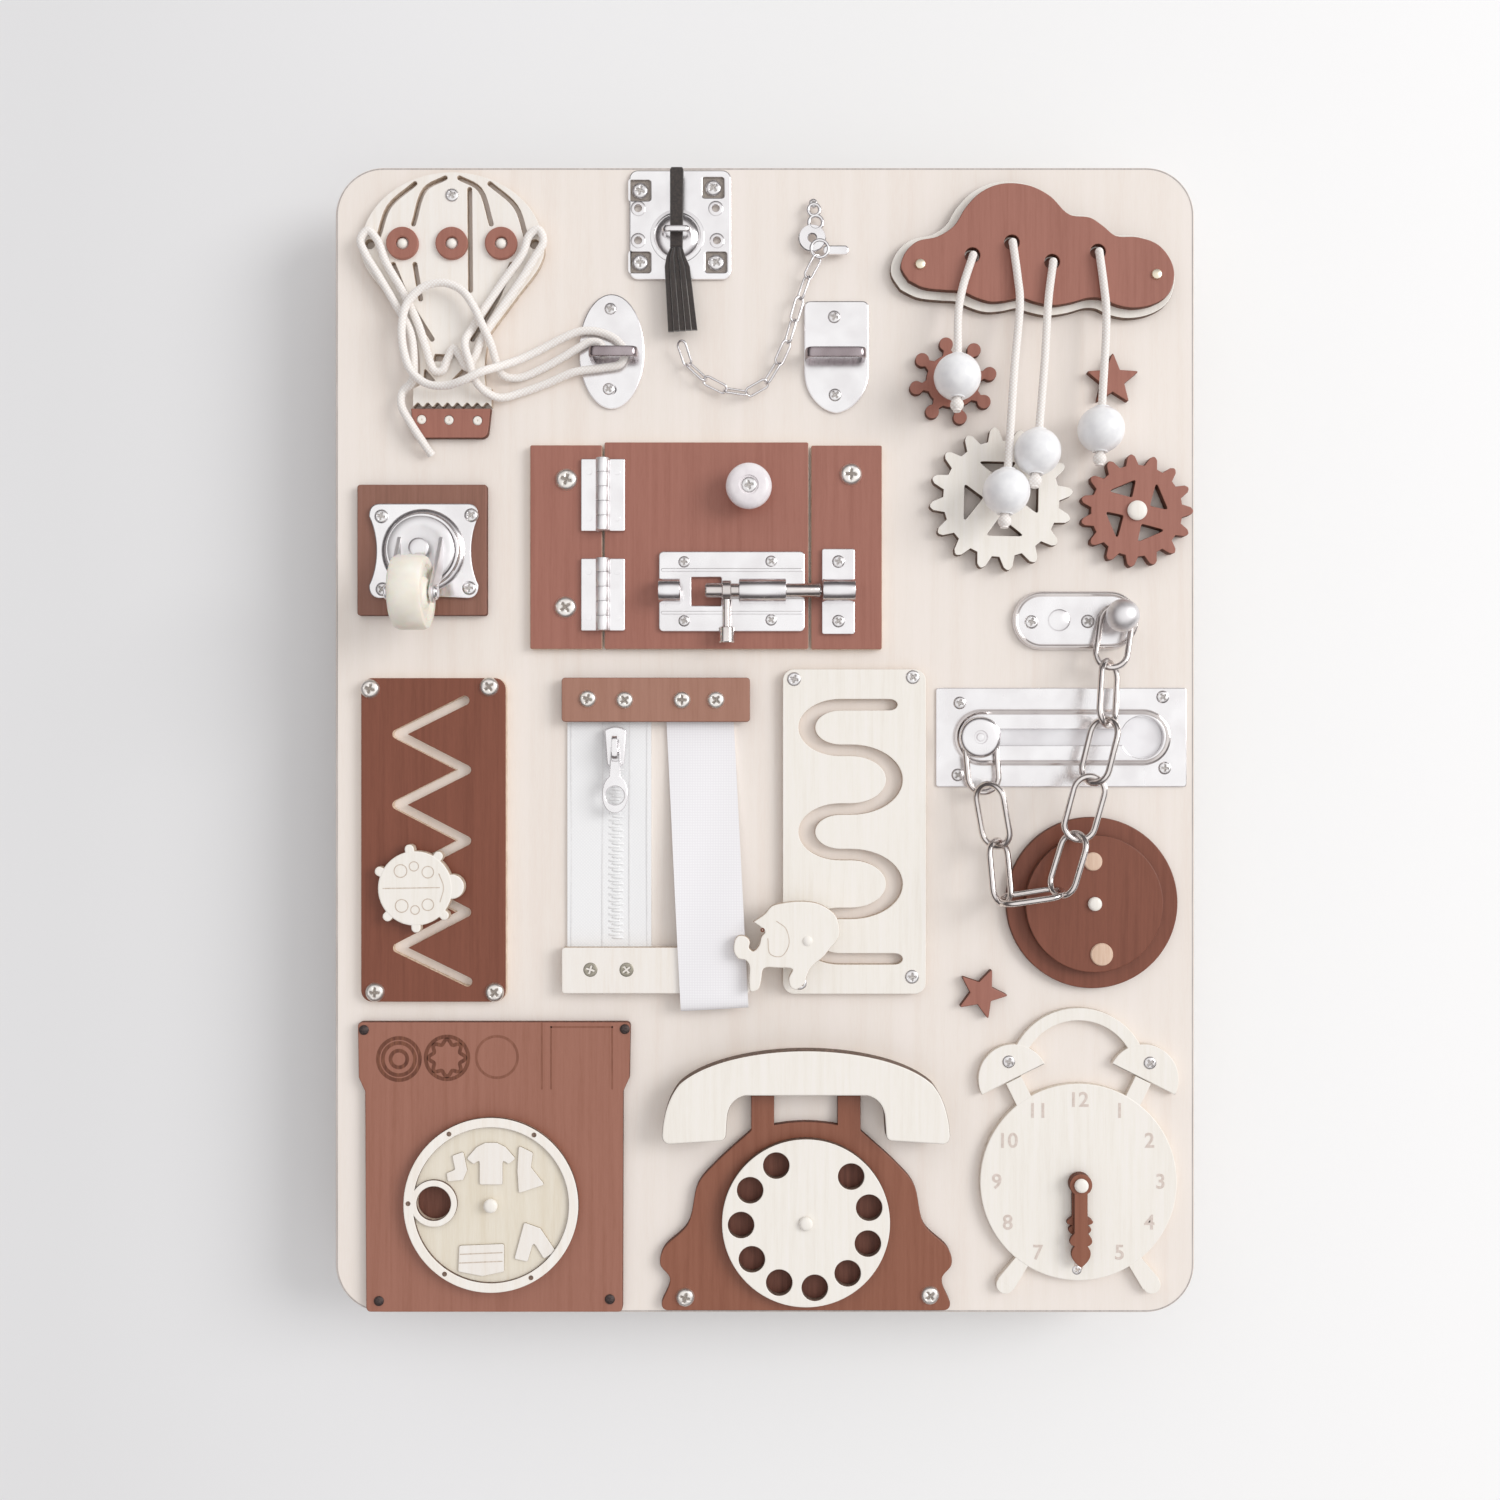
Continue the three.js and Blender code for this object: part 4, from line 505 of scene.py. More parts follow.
# A smooth line through points in space, as an easy-running cord lies
def flowing(points, steps=8):
    points = [Vector(p) for p in points]
    points = [2 * points[0] - points[1]] + points + [2 * points[-1] - points[-2]]
    out = []
    for i in range(1, len(points) - 2):
        p0, p1, p2, p3 = points[i - 1:i + 3]
        d0, d1, d2 = (max((b - a).length, 1e-4) ** 0.5 for a, b in ((p0, p1), (p1, p2), (p2, p3)))
        m1 = ((p1 - p0) / d0 - (p2 - p0) / (d0 + d1) + (p2 - p1) / d1) * d1
        m2 = ((p2 - p1) / d1 - (p3 - p1) / (d1 + d2) + (p3 - p2) / d2) * d1
        for k in range(steps):
            t = k / steps
            out.append(p1 + m1 * t + (-3 * p1 + 3 * p2 - 2 * m1 - m2) * t * t
                       + (2 * p1 - 2 * p2 + m1 + m2) * t ** 3)
    out.append(points[-2])
    return out


def flowing_flat(points, steps=8):
    return [(p.x, p.y) for p in flowing([(x, y, 0) for x, y in points], steps)]


# A slot that follows a line of points, round at its ends and outside its corners
SLOT_STEP = 0.3


def slot_outline(points, radius):
    def heading(a, b):
        return math.atan2(b[1] - a[1], b[0] - a[0])

    def side(route):
        rim = [(heading(*route[:2]), radius, *route[0])]
        for i in range(1, len(route)):
            last = i == len(route) - 1
            before = heading(route[i - 1], route[i])
            change = math.pi if last else heading(route[i], route[i + 1]) - before
            turn = change if last else math.atan2(math.sin(change), math.cos(change))
            if turn < SLOT_STEP:
                rim.append((before + turn / 2, radius / math.cos(turn / 2), *route[i]))
                continue
            steps = math.ceil(turn / SLOT_STEP)
            rim += [(before + turn * k / steps, radius, *route[i]) for k in range(steps + 1)]
        return [(x + reach * math.sin(a), y - reach * math.cos(a)) for a, reach, x, y in rim]

    return side(points) + side(points[::-1])


# The outline of a smooth closed shape, pushed outwards by reach
def grown(points, reach, dx, dy):
    out = []
    for i, (x, y) in enumerate(points):
        (x0, y0), (x1, y1) = points[i - 1], points[(i + 1) % len(points)]
        run = math.hypot(x1 - x0, y1 - y0) or 1
        out.append((x + reach * -(y1 - y0) / run + dx, y + reach * (x1 - x0) / run + dy))
    return out


# A burnt or sewn line on a surface at height z: open lines with round ends, or closed loops
def scribe(name, routes, width, z, look=engraved, body="board", loop=False):
    points, faces = [], []
    for route in routes:
        start = len(points)
        if not loop:
            outline = slot_outline(route, width / 2)
            points += [(x, y, z) for x, y in outline]
            faces.append(tuple(range(start, start + len(outline))))
            continue
        inner = [Vector(p) for p in route]
        count = len(inner)
        for i, p in enumerate(inner):
            along = (inner[(i + 1) % count] - inner[i - 1]).normalized()
            side = Vector((-along.y, along.x)) * width / 2
            points += [(p.x + side.x, p.y + side.y, z), (p.x - side.x, p.y - side.y, z)]
            a, b = start + 2 * i, start + 2 * ((i + 1) % count)
            faces.append((a, b, b + 1, a + 1))
    return finish_piece(name, mesh_from(name, points, faces), look, body)


# Free cords come first: the lace and the four bead cords
CORD = 2.8
LACE_ROUTE = [
    (-115.8, 99, 2), (-118.6, 103.4, 4.4), (-122.8, 110, 4.8), (-125.8, 115.8, 4.4), (-125.6, 120.6, 3.4),
    (-122, 124, 4.8), (-121.4, 131, 4.8), (-122.6, 141, 4.8), (-128, 151, 4.8), (-133.6, 160.5, 4.8),
    (-138.4, 168.5, 4.8), (-139.8, 173, 4.8), (-137.2, 176, 4.8), (-134.2, 173, 4.8), (-131, 165, 4.8),
    (-125, 154.5, 4.8), (-120, 144, 4.8), (-117.2, 135.5, 4.8), (-114.2, 127.6, 4.8),
    (-111.6, 127.6, 4.8), (-109.6, 132, 4.8), (-107.6, 135.4, 4.8), (-105.4, 132.4, 4.8),
    (-103, 128.6, 4.8), (-100.6, 132, 4.8), (-97.6, 139, 4.8), (-91.5, 148.5, 4.8), (-84.6, 158.5, 4.8),
    (-79.4, 167, 4.8), (-76.6, 172.5, 4.8), (-78.4, 176.4, 4.8), (-81.4, 174.5, 4.8), (-83.8, 168, 4.8),
    (-90.2, 159, 4.8), (-96.4, 149.8, 4.8), (-101.2, 142, 5.2), (-103.2, 136.5, 7.9), (-101.6, 130, 8),
    (-98.6, 122, 7.4), (-92.4, 118.6, 3.8), (-85, 120.6, 2), (-76, 123.8, 2), (-66, 127.6, 3.1),
    (-56.4, 129, 3.1), (-50.2, 130.4, 3.1), (-48.6, 134.4, 3.1), (-51.6, 138.8, 3.1), (-58, 141.6, 3.1),
    (-64.5, 141.6, 3.1), (-70.5, 139.2, 3), (-77.4, 135.6, 3), (-85, 131.6, 4.2), (-91.4, 128.4, 7.4),
    (-97, 125.6, 11), (-103, 122.8, 10.9), (-109.6, 121.4, 9), (-116.4, 122.4, 8), (-121.6, 126.8, 8),
    (-124.2, 134, 8), (-124.8, 142, 8), (-123, 149.8, 8), (-117.8, 155.2, 8), (-110.8, 157, 8),
    (-104.2, 154.4, 8), (-100, 148.6, 8.2), (-97.2, 142.6, 8.2), (-94.6, 136.6, 6), (-93.2, 131.2, 3.6),
    (-91, 126.6, 3), (-86, 125.8, 2), (-78, 128.8, 2), (-70.6, 132.6, 2.6), (-65, 135.8, 3.1),
    (-60.6, 138, 3.1), (-57, 137.4, 3.1), (-56.2, 133.6, 3.1),
]
HOLES = [(71.5, 166.6), (85.1, 171), (99, 164.3), (114.8, 167.8)]
BEADS = [(65.2, 123.2, 13.7), (81.6, 84, 15), (92.4, 97.8, 13.4), (115.1, 106.4, 9)]
STRING_BENDS = [
    [(68, 155.8, 7.8), (66.2, 146.6, 9.3)],
    [(86.8, 158.7, 7.8), (87.4, 151, 8.6), (84.8, 126, 12.2)],
    [(97.4, 152, 7.9), (95.6, 130, 10.2)],
    [(116.5, 155.1, 7.8), (117.2, 147, 8)],
]
BEAD_RADIUS = 8.0
KNOT_RADIUS = 2.3
STRING_Z = 7.8


def cord_piece(name, line, body, node):
    shape = bpy.data.curves.new(name, "CURVE")
    shape.dimensions = "3D"
    shape.bevel_depth = CORD / 2 * MM
    shape.bevel_resolution = 4
    shape.use_fill_caps = True
    spline = shape.splines.new("POLY")
    spline.points.add(len(line) - 1)
    for point, spot in zip(spline.points, line):
        point.co = (*row(*spot), 1)
    shape.materials.append(cord_cotton)
    piece = bpy.data.objects.new(name, shape)
    bpy.context.collection.objects.link(piece)
    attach(piece, body)
    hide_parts(node)


cord_piece("lace", flowing(LACE_ROUTE), "board", "lacing_cord")


def bead_string(number, hole, centre, bends):
    body = f"string_{number}"
    top = Vector((*hole, STRING_Z))
    middle = Vector(centre)
    down = (middle - Vector(bends[-1])).normalized()
    end = middle + down * (BEAD_RADIUS + 4.5)
    tilt = Vector((0, 0, -1)).rotation_difference(down).to_matrix().to_4x4()
    profile = [(1.6, -7.7), (2.6, -7.85), *arc(0, 0, BEAD_RADIUS, -70, 70, 20), (2.6, 7.85), (1.6, 7.7),
               (1.6, -7.7)]
    bead = turned(f"bead_ball_{number}", profile, enamel, body, f"bead_{number}", centre, matrix=tilt)
    knot = ball(f"bead_knot_{number}", middle + down * (BEAD_RADIUS + 2.2), KNOT_RADIUS, cord_cotton, body)
    line = flowing([top, *bends, middle - down * (BEAD_RADIUS + 2), middle, end])
    cord_piece(f"bead_string_{number}", line, body, f"bead_cord_{number}")
    ball(f"string_plug_{number}", (*hole, STRING_Z - 0.2), 1.42, cord_cotton)
    # A dark disc on the floor of each cord hole: painted shade in the hole
    turned(f"string_hole_shade_{number}", [(2.2, 2.9), (2.2, 3.1), (0.02, 3.1)], painted_hole_shade,
           at=(hole[0], hole[1] + 0.6), turns=28)


for number in range(4):
    bead_string(number + 1, HOLES[number], BEADS[number], STRING_BENDS[number])


# The board, with rounded corners and an eased rim, and the two glued stars
WIDTH, HEIGHT, THICKNESS, CORNER = 300, 400, 10, 17
plate("board_blank", [boxed(0, 0, WIDTH, HEIGHT, CORNER, 16)], -THICKNESS, 0, [birch_board, ply_edge],
      node="base_board", ease=0.9)
# A thin grey line drawn round the rim of the face, just inside the eased edge
scribe("board_rim", [boxed(0, 0, WIDTH - 1.5, HEIGHT - 1.5, CORNER - 0.75, 16)], 0.45, LINE, rim_line,
       loop=True)


def star(name, x, y, radius, turn):
    tips = [polar(r, turn + i * math.pi / 5, x, y) for i, r in enumerate([radius, radius * 0.44] * 5)]
    plate(name, [rounded(tips, [0.5, 0] * 5, 3)], 0, PLY, STAIN)


star("star_upper", 120.7, 125, 9.7, math.pi / 2)
star("star_lower", 75.3, -88, 9.4, 1.18)


# A domed screw head with a cross recess pressed into it. The recess is coloured as painted shade,
# darker on screws with a look of their own.
SCREW_TURNS, SCREW_RINGS = 36, 10


def screw(name, x, y, z, radius, height, look=None, turn=0.5, body="board"):
    def in_cross(px, py, arm, reach):
        u = px * math.cos(turn) + py * math.sin(turn)
        v = py * math.cos(turn) - px * math.sin(turn)
        return min(abs(u), abs(v)) < arm * radius and math.hypot(u, v) < reach * radius

    points = []
    angles = [TAU * i / SCREW_TURNS for i in range(SCREW_TURNS)]
    for k in range(SCREW_RINGS + 1):
        r = radius * k / SCREW_RINGS
        rise = height * (1 - 0.3 * (r / radius) ** 2 - 0.7 * (r / radius) ** 8)
        for angle in angles:
            spot = polar(r, angle)
            points.append((*spot, rise - (0.35 if in_cross(*spot, 0.13, 0.55) else 0.0)))
    points += [(*polar(radius, angle), -0.25) for angle in angles]
    faces = skin(SCREW_RINGS + 2, SCREW_TURNS) + [tuple(range(len(points) - SCREW_TURNS, len(points)))]
    mesh = mesh_from(name, points, faces, FACE @ Matrix.Translation((x, y, z)))
    looks = [look or screw_steel, slot_dark if look else slot_pale]
    piece = finish_piece(name, mesh, looks, body, crease=50)
    for face in piece.data.polygons:
        middle = face.center / MM
        if len(face.vertices) == 4 and in_cross(middle.x - x, middle.z - y, 0.12, 0.5):
            face.material_index = 1


def screws(name, spots, z, radius, height, look=None, body="board"):
    for number, (x, y) in enumerate(spots, 1):
        screw(f"{name}_{number}", x, y, z, radius, height, look, 0.4 + 0.9 * number, body)


# Pivot screws with pale caps: x, y, the top of what turns on it and the cap's radius
PIN, BORE = 1.3, 1.6
HUBS = {
    "gear_light": (81.7, 83.4, 4.5, 3.4),
    "gear_dark": (128.6, 79.3, 4.5, 3.4),
    "sun": (65.2, 124.5, 3.5, 3.4),
    "spinner": (113.5, -56.5, 6.5, 2.4),
    "washer": (-94.5, -160.4, 6.5, 2.4),
    "dial": (14.1, -166.6, 6.5, 2.4),
    "clock": (108.8, -153.4, 6.8, 2.4),
}
PLACES = {name: hub[:2] for name, hub in HUBS.items()}
for name, (x, y, top, cap) in HUBS.items():
    turned(f"pivot_{name}", [(PIN, -1), (PIN, top + 0.3), (cap, top + 0.3), (cap, top + 0.8),
                             (cap * 0.9, top + 1.2), (cap * 0.6, top + 1.5), (0.02, top + 1.5)],
           maple, at=(x, y), turns=32)

# Drawings that stand on the face: the first two numbers of an outline run along x or y and up
ACROSS = Matrix(((1, 0, 0, 0), (0, 0, -1, 0), (0, 1, 0, 0), (0, 0, 0, 1)))
UPRIGHT = Matrix(((0, 0, 1, 0), (1, 0, 0, 0), (0, 1, 0, 0), (0, 0, 0, 1)))
# Turned profiles laid along x or along y
LAY_X = Matrix.Rotation(math.pi / 2, 4, "Y")
LAY_Y = Matrix.Rotation(math.pi / 2, 4, "X")


def stand(x, y, axes, z=0):
    return FACE @ Matrix.Translation((x, y, z)) @ axes


# Balloon with a scalloped hem, basket and lacing plate
BALLOON = (-108.5, 123)


def balloon():
    half, wide, top, neck, hem, drop = 32, 47, 74, 11.5, 13.7, 7.4
    side = bow((neck, 0), (neck - 1, 8), (13, 18)) + bow((25, 34), (half, 42), (half, wide))
    side += [(half * math.cos(math.radians(a)), wide + (top - wide) * math.sin(math.radians(a)))
             for a in range(3, 90, 3)]
    scallops = [(hem * (1 - i / 48), 0.7 - drop - 0.7 * math.cos(TAU * i / 12)) for i in range(97)]
    edge = side + [(0, top)] + mirrored(side) + [(-hem, -1)] + scallops[::-1] + [(hem, -1)]
    gores = [[(13, 70), (22, 62), (25.5, 52)], [(2.5, 72), (9.5, 68), (13.5, 56)],
             [(20.5, 42), (15, 29), (7, 16)]]
    cuts = [slot_outline(flowing_flat([(hand * x, y) for x, y in gore], 5), 0.8)
            for gore in gores for hand in (1, -1)]
    cuts += [slot_outline([(-13, 42), (-11, 30)], 0.8), slot_outline([(6, 68), (6.3, 33)], 0.8)]
    cuts += [ring(28.6, 49, 1.7, 24), ring(-28.6, 49, 1.7, 24)]
    cuts += [rounded(window, 0.4, 3) for window in (
        [(-9.6, 6), (-5.6, 1.3), (-10.1, 1.7)], [(4, 6.2), (7.6, 1.1), (-0.6, 1.5)],
        [(-6, 10.9), (-1.8, 10.7), (-0.8, 8.5), (-6.8, 8.3)],
        [(1.9, 11), (4.3, 11.1), (4.5, 8.7), (1.7, 8.6)])]
    plate("balloon_envelope", [edge] + cuts, 0, PLY, WOOD, node="balloon_panel", ease=0.25, at=BALLOON)
    spots = offsets(BALLOON, [(-17.1, 49), (0, 49), (17.1, 49)])
    studs("balloon_ring", spots, [(5.6, 3), (5.6, 4.2), (5.3, 4.5), (2.5, 4.5), (2.2, 4.2), (2.2, 3),
                                  (5.6, 3)], stained, turns=40)
    for number, spot in enumerate(spots, 1):
        ball(f"balloon_eyelet_{number}", (*spot, 2.6), 2.1, maple)


balloon()
screw("balloon_screw", -108.6, 189, PLY, 2.4, 0.7)

BASKET = (-109, 104.8)
basket_edge = ([(-10.9, 0)] + bow((10.9, 0), (12.8, 0.4), (13, 2.4)) + [(13.9, 10.2), (-13.9, 10.2)]
               + bow((-13, 2.4), (-12.8, 0.4), (-10.9, 0))[:-1])
basket_holes = [(-10.2, 6.4), (-0.7, 6.2), (9.2, 6)]
plate("basket_plate", [basket_edge] + [ring(*spot, 1.6, 24) for spot in basket_holes], 0, PLY, STAIN,
      node="balloon_basket", at=BASKET)
studs("basket_eyelet", offsets(BASKET, basket_holes), [(1.6, 0.5), (1.6, 2.7), (1.2, 3.05), (0.4, 3.05),
                                                       (0.02, 2.4)], maple)


# A flat staple that stands on a plate, seen as a band across it; its default steel is darkened as painted
# shade
def staple(name, x, y, width, band, height, look=staple_steel):
    outer, wall = width / 2, 1.6
    inner, crown = outer - wall, height - wall
    top = rounded([(-outer, 0.2), (-outer, height), (outer, height), (outer, 0.2)], [0, 3, 3, 0], 8)
    low = rounded([(inner, 0.2), (inner, crown), (-inner, crown), (-inner, 0.2)], [0, 1.4, 1.4, 0], 8)
    plate(name, [top + low], -band / 2, band / 2, look, ease=0.7, matrix=stand(x, y, ACROSS))


plate("lace_plate", [oval(-53.4, 135.3, 11.5, 20, 72), ring(-53.4, 150.1, 1.4, 20),
                     ring(-53.4, 122.1, 1.4, 20)], 0, SHEET, steel, node="lace_staple_plate", ease=0.45)
staple("lace_staple", -52.4, 133.7, 17, 3.6, 8.5)
screws("lace_plate_screw", [(-53.8, 150.1), (-54.4, 122.2)], SHEET - 0.4, 2.3, 0.9)
shield = (bend((-11.3, -6), (-10.8, -13.5), (-5.5, -19), (0, -19.6))
          + bend((0, -19.6), (5.5, -19), (10.8, -13.5), (11.3, -6))
          + bow((11.3, 17), (11.3, 19.5), (8.8, 19.5)) + bow((-8.8, 19.5), (-11.3, 19.5), (-11.3, 17)))
plate("shield_plate", [shield], 0, SHEET, steel, node="shield_staple_plate", ease=0.45, at=(24.9, 133.4))
staple("shield_staple", 24.4, 133.4, 21, 3.6, 8.5)
screws("shield_plate_screw", [(24.1, 147.3), (24.4, 120.1)], SHEET - 0.3, 2.4, 0.9)

# Square eye plate: corner sockets darkened with painted shade, with their screws, rivets, a pressed boss
# and the eye
HOOK = (-29.5, 179.4)
EYE = (HOOK[0] - 1, HOOK[1] - 4)
sockets = offsets(HOOK, [(-14, 12), (11.5, 13), (-14, -13), (12.5, -13)])
rivets = offsets(HOOK, [(-14.6, 5.6), (12.4, 5.6), (-14.6, -5.6), (12.8, -5.6)])
plate("eye_plate", [boxed(*HOOK, 35.5, 38, 3)] + [boxed(*spot, 7.4, 7.2, 0.8, 3) for spot in sockets]
      + [ring(*spot, 1.2, 20) for spot in rivets], 0.1, SHEET, steel, node="hook_plate", ease=0.4)
# Each socket's floor is a dark sheet: painted shade in the recess
for number, spot in enumerate(sockets, 1):
    plate(f"eye_plate_socket_{number}", [boxed(*spot, 7.4, 7.2, 0.6, 3)], 0.02, 0.3, slot_dark, ease=0.05)
screws("eye_plate_screw", sockets, 0.5, 2.9, 1.0)
studs("eye_plate_rivet", rivets, [(2.6, 1.0), (2.6, 1.5), (2.3, 1.7), (1.4, 1.7), (1.2, 1.4), (1.2, 1.0),
                                  (2.6, 1.0)], steel, turns=32)
turned("eye_plate_boss", [(9.6, 0.9), (9.3, 1.5), (8.2, 1.7), (7.8, 1.45), (7.2, 2.2), (4.8, 3.1),
                          (0.02, 3.2)], steel, at=EYE, turns=56)
staple("eye_plate_eye", *EYE, 10.4, 2.2, 9.6, steel)


# Suede strap through the eye: a narrow tail above and a fringed, folded end below
def suede_strap():
    place = (-30.5, 179.2)
    tail = [(-2.3, 17.5), (-2.25, -8), (-2.3, -9.5), (2.1, -9.5), (2.1, -8), (2.4, 17.5), (1.9, 18.3),
            (-1.8, 18.3)]
    plate("tassel_tail", [rounded(tail, 0.4, 3)], 4.3, 6.6, suede, node="tassel_strap", ease=0.5,
          at=place)
    low = [(-2.3, -9.5), (-3.6, -12.5), (-4.2, -16), (-3, -38.3)]
    high = [(2.1, -9.5), (3, -12.3), (4.6, -16), (7.2, -37.6)]
    for number, lift in enumerate((0.0, 0.5, 0.1, 0.6, 0.2)):
        left, right = [[(a[0] + (b[0] - a[0]) * (number + inset) / 5, a[1] + (b[1] - a[1]) * number / 5)
                        for a, b in zip(low, high)] for inset in (0.02, 0.98)]
        plate(f"tassel_fold_{number + 1}", [left + right[::-1]], 4.3 + lift * 0.4, 6.1 + lift, suede,
              ease=0.4, at=place)


suede_strap()


# Chains. A link lies between two joints and turns by its twist about the line between them.
def link_line(start, end, twist, width, wire, steps=12):
    start, end = Vector(start), Vector(end)
    along = (end - start).normalized()
    across = Matrix.Rotation(twist, 3, along) @ Vector((0, 0, 1)).cross(along).normalized()
    radius = (width - wire) / 2
    straight = ((end - start).length + wire) / 2 - radius
    middle = (start + end) / 2
    line = []
    for sign in (1, -1):
        for i in range(steps + 1):
            a = -math.pi / 2 + math.pi * i / steps
            line.append(middle + along * sign * (straight + radius * math.cos(a))
                        + across * sign * radius * math.sin(a))
    return line


def chain(name, joints, twists, width, wire, node=None, look=wire_steel, body="board", sides=12):
    lines = [link_line(a, b, t, width, wire) for a, b, t in zip(joints, joints[1:], twists)]
    bar(name, lines, wire / 2, look, body, node, True, sides)


def spaced(points, count):
    line = flowing(points, 20)
    steps = [(b - a).length for a, b in zip(line, line[1:])]
    pitch = sum(steps) / count
    out, gone, target = [line[0]], 0.0, pitch
    for a, b, step in zip(line, line[1:], steps):
        while gone + step >= target - 1e-9 and len(out) < count:
            out.append(a.lerp(b, (target - gone) / step))
            target += pitch
        gone += step
    return out + [line[-1]]


SMALL_ROUTE = [
    (-29, 137.2, 5.5), (-28.2, 133.4, 3.6), (-25.6, 128.8, 2.9), (-20.8, 125, 2.9), (-15, 121.8, 2.9),
    (-8.4, 120.2, 2.9), (-2.4, 121.2, 2.9), (1.8, 125.8, 2.9), (5, 131.6, 2.9), (7.8, 138, 2.9),
    (9.8, 145, 2.9), (11.6, 151.4, 2.9), (13.6, 157.6, 2.9), (15.8, 163, 2.9), (18.4, 167.6, 2.9),
]
chain("fine_chain", spaced(SMALL_ROUTE, 11), [0.5, -0.9] * 6, 4, 0.9, "small_chain", steel, sides=10)

# Its end on the board: rings, clasp, washer and screw
for name, x, y, z, radius, wire in (("clasp_ring", 19, 170.4, 2.9, 3, 0.65),
                                    ("eye_ring_lower", 17.6, 179.6, 2.6, 2.4, 0.7),
                                    ("eye_ring_upper", 17, 184, 2.6, 2, 0.7)):
    bar(name, [[(*spot, z) for spot in ring(x, y, radius, 40)]], wire, steel, closed=True)
turned("chain_washer", [(4.8, 2.1), (4.8, 2.9), (4.5, 3.2), (1.7, 3.2), (1.4, 2.9), (1.4, 2.1),
                        (4.8, 2.1)], steel, at=(16.4, 174.2), turns=40)
screw("chain_screw", 16.8, 186.4, 2.2, 1.7, 0.9)
plate("chain_clasp", [boxed(24.6, 170, 9, 3.2, 1.4)], 1.8, 3.3, steel, ease=0.5)

# Cloud in two tiers, and the brass screws that hold it
cloud_edge = flowing_flat([
    (49.5, 158.4), (46.8, 163.2), (48.6, 168.5), (52.7, 172.1), (59.3, 173.6), (65.2, 177.4),
    (69.0, 183.4), (73.8, 188.5), (79.5, 191.4), (85.2, 192.1), (91.9, 191.0), (98.5, 187.5),
    (103.6, 182.2), (106, 180.9), (112.1, 180.2), (116.5, 177.4), (121.0, 173.9), (128.7, 173.4),
    (135.5, 170.9), (139.8, 165.8), (141.2, 160.2), (139.2, 153.7), (134.1, 150.3), (127.0, 149.0),
    (121.0, 150.1), (116.3, 152.2), (111.5, 152.4), (105.6, 150.8), (99.0, 149.9), (93.1, 151.0),
    (88.4, 152.4), (83.0, 151.4), (77.7, 151.1), (72.3, 152.7), (68.2, 154.6), (61.6, 155.1),
    (54.5, 156.0), (49.5, 158.4),
], 5)[:-1]
# The base tier's dark edge is partly laser burn, partly painted shade along its foot
plate("cloud_base", [grown(cloud_edge, 2.2, -1.1, -0.5)], 0, PLY, SCORCHED, node="cloud")
plate("cloud_front", [cloud_edge] + [ring(x, y + 0.6, 2.6, 28) for x, y in HOLES], PLY, 2 * PLY, STAIN)
studs("cloud_pin", [(53.5, 164), (135, 160.5)], [(1.9, 5), (1.9, 6.2), (1.6, 6.7), (0.8, 7),
                                                 (0.02, 7.05)], brass, turns=32)

# Gears with pinwheel windows, and the sun wheel
GEAR_PLY = 4


def gear(teeth, tip, turn):
    root = tip * 0.81
    tooth = [(-0.34, root), (-0.17, tip * 0.955), (-0.07, tip * 0.99), (0, tip), (0.07, tip * 0.99),
             (0.17, tip * 0.955), (0.34, root)]
    outlines = [[polar(r, turn + (i + s) * TAU / teeth) for i in range(teeth) for s, r in tooth]]
    for k in range(4):
        base = turn + k * math.pi / 2
        corners = [polar(tip * r, base + a) for r, a in ((0.61, 0.45), (0.55, -0.49), (0.25, -0.17))]
        outlines.append(rounded(corners, 0.6, 3))
    return outlines + [ring(0, 0, BORE, 28)]


plate("light_gear_wheel", gear(16, 24.9, 0.1), LIFT, LIFT + GEAR_PLY, SCORCHED, "light_gear",
      "gear_light", 0.25, PLACES["gear_light"])
plate("dark_gear_wheel", gear(15, 19.6, 2.09), LIFT, LIFT + GEAR_PLY, STAIN, "dark_gear", "gear_stained",
      0.25, PLACES["gear_dark"])


def sun_edge(rim=9.3):
    tooth = [polar(rim, a) for a in (-0.35, -0.3, -0.22)] + [(10.6, -1.35)]
    tooth += (arc(12.9, 0, 2.4, -140, 140, 20) + [(10.6, 1.35)]
              + [polar(rim, a) for a in (0.22, 0.3, 0.35)])
    return [spot for i in range(8) for spot in shifted(tooth, 0, 0, 1.76 + i * TAU / 8)]


plate("sun_wheel_plate", [sun_edge(), ring(0, 0, BORE, 28)], LIFT, LIFT + PLY, STAIN, "sun", "sun_wheel",
      0.25, PLACES["sun"])


# A profile that is the same on both sides of its middle
def both_sides(half):
    return half + [(r, -z) for r, z in reversed(half)]


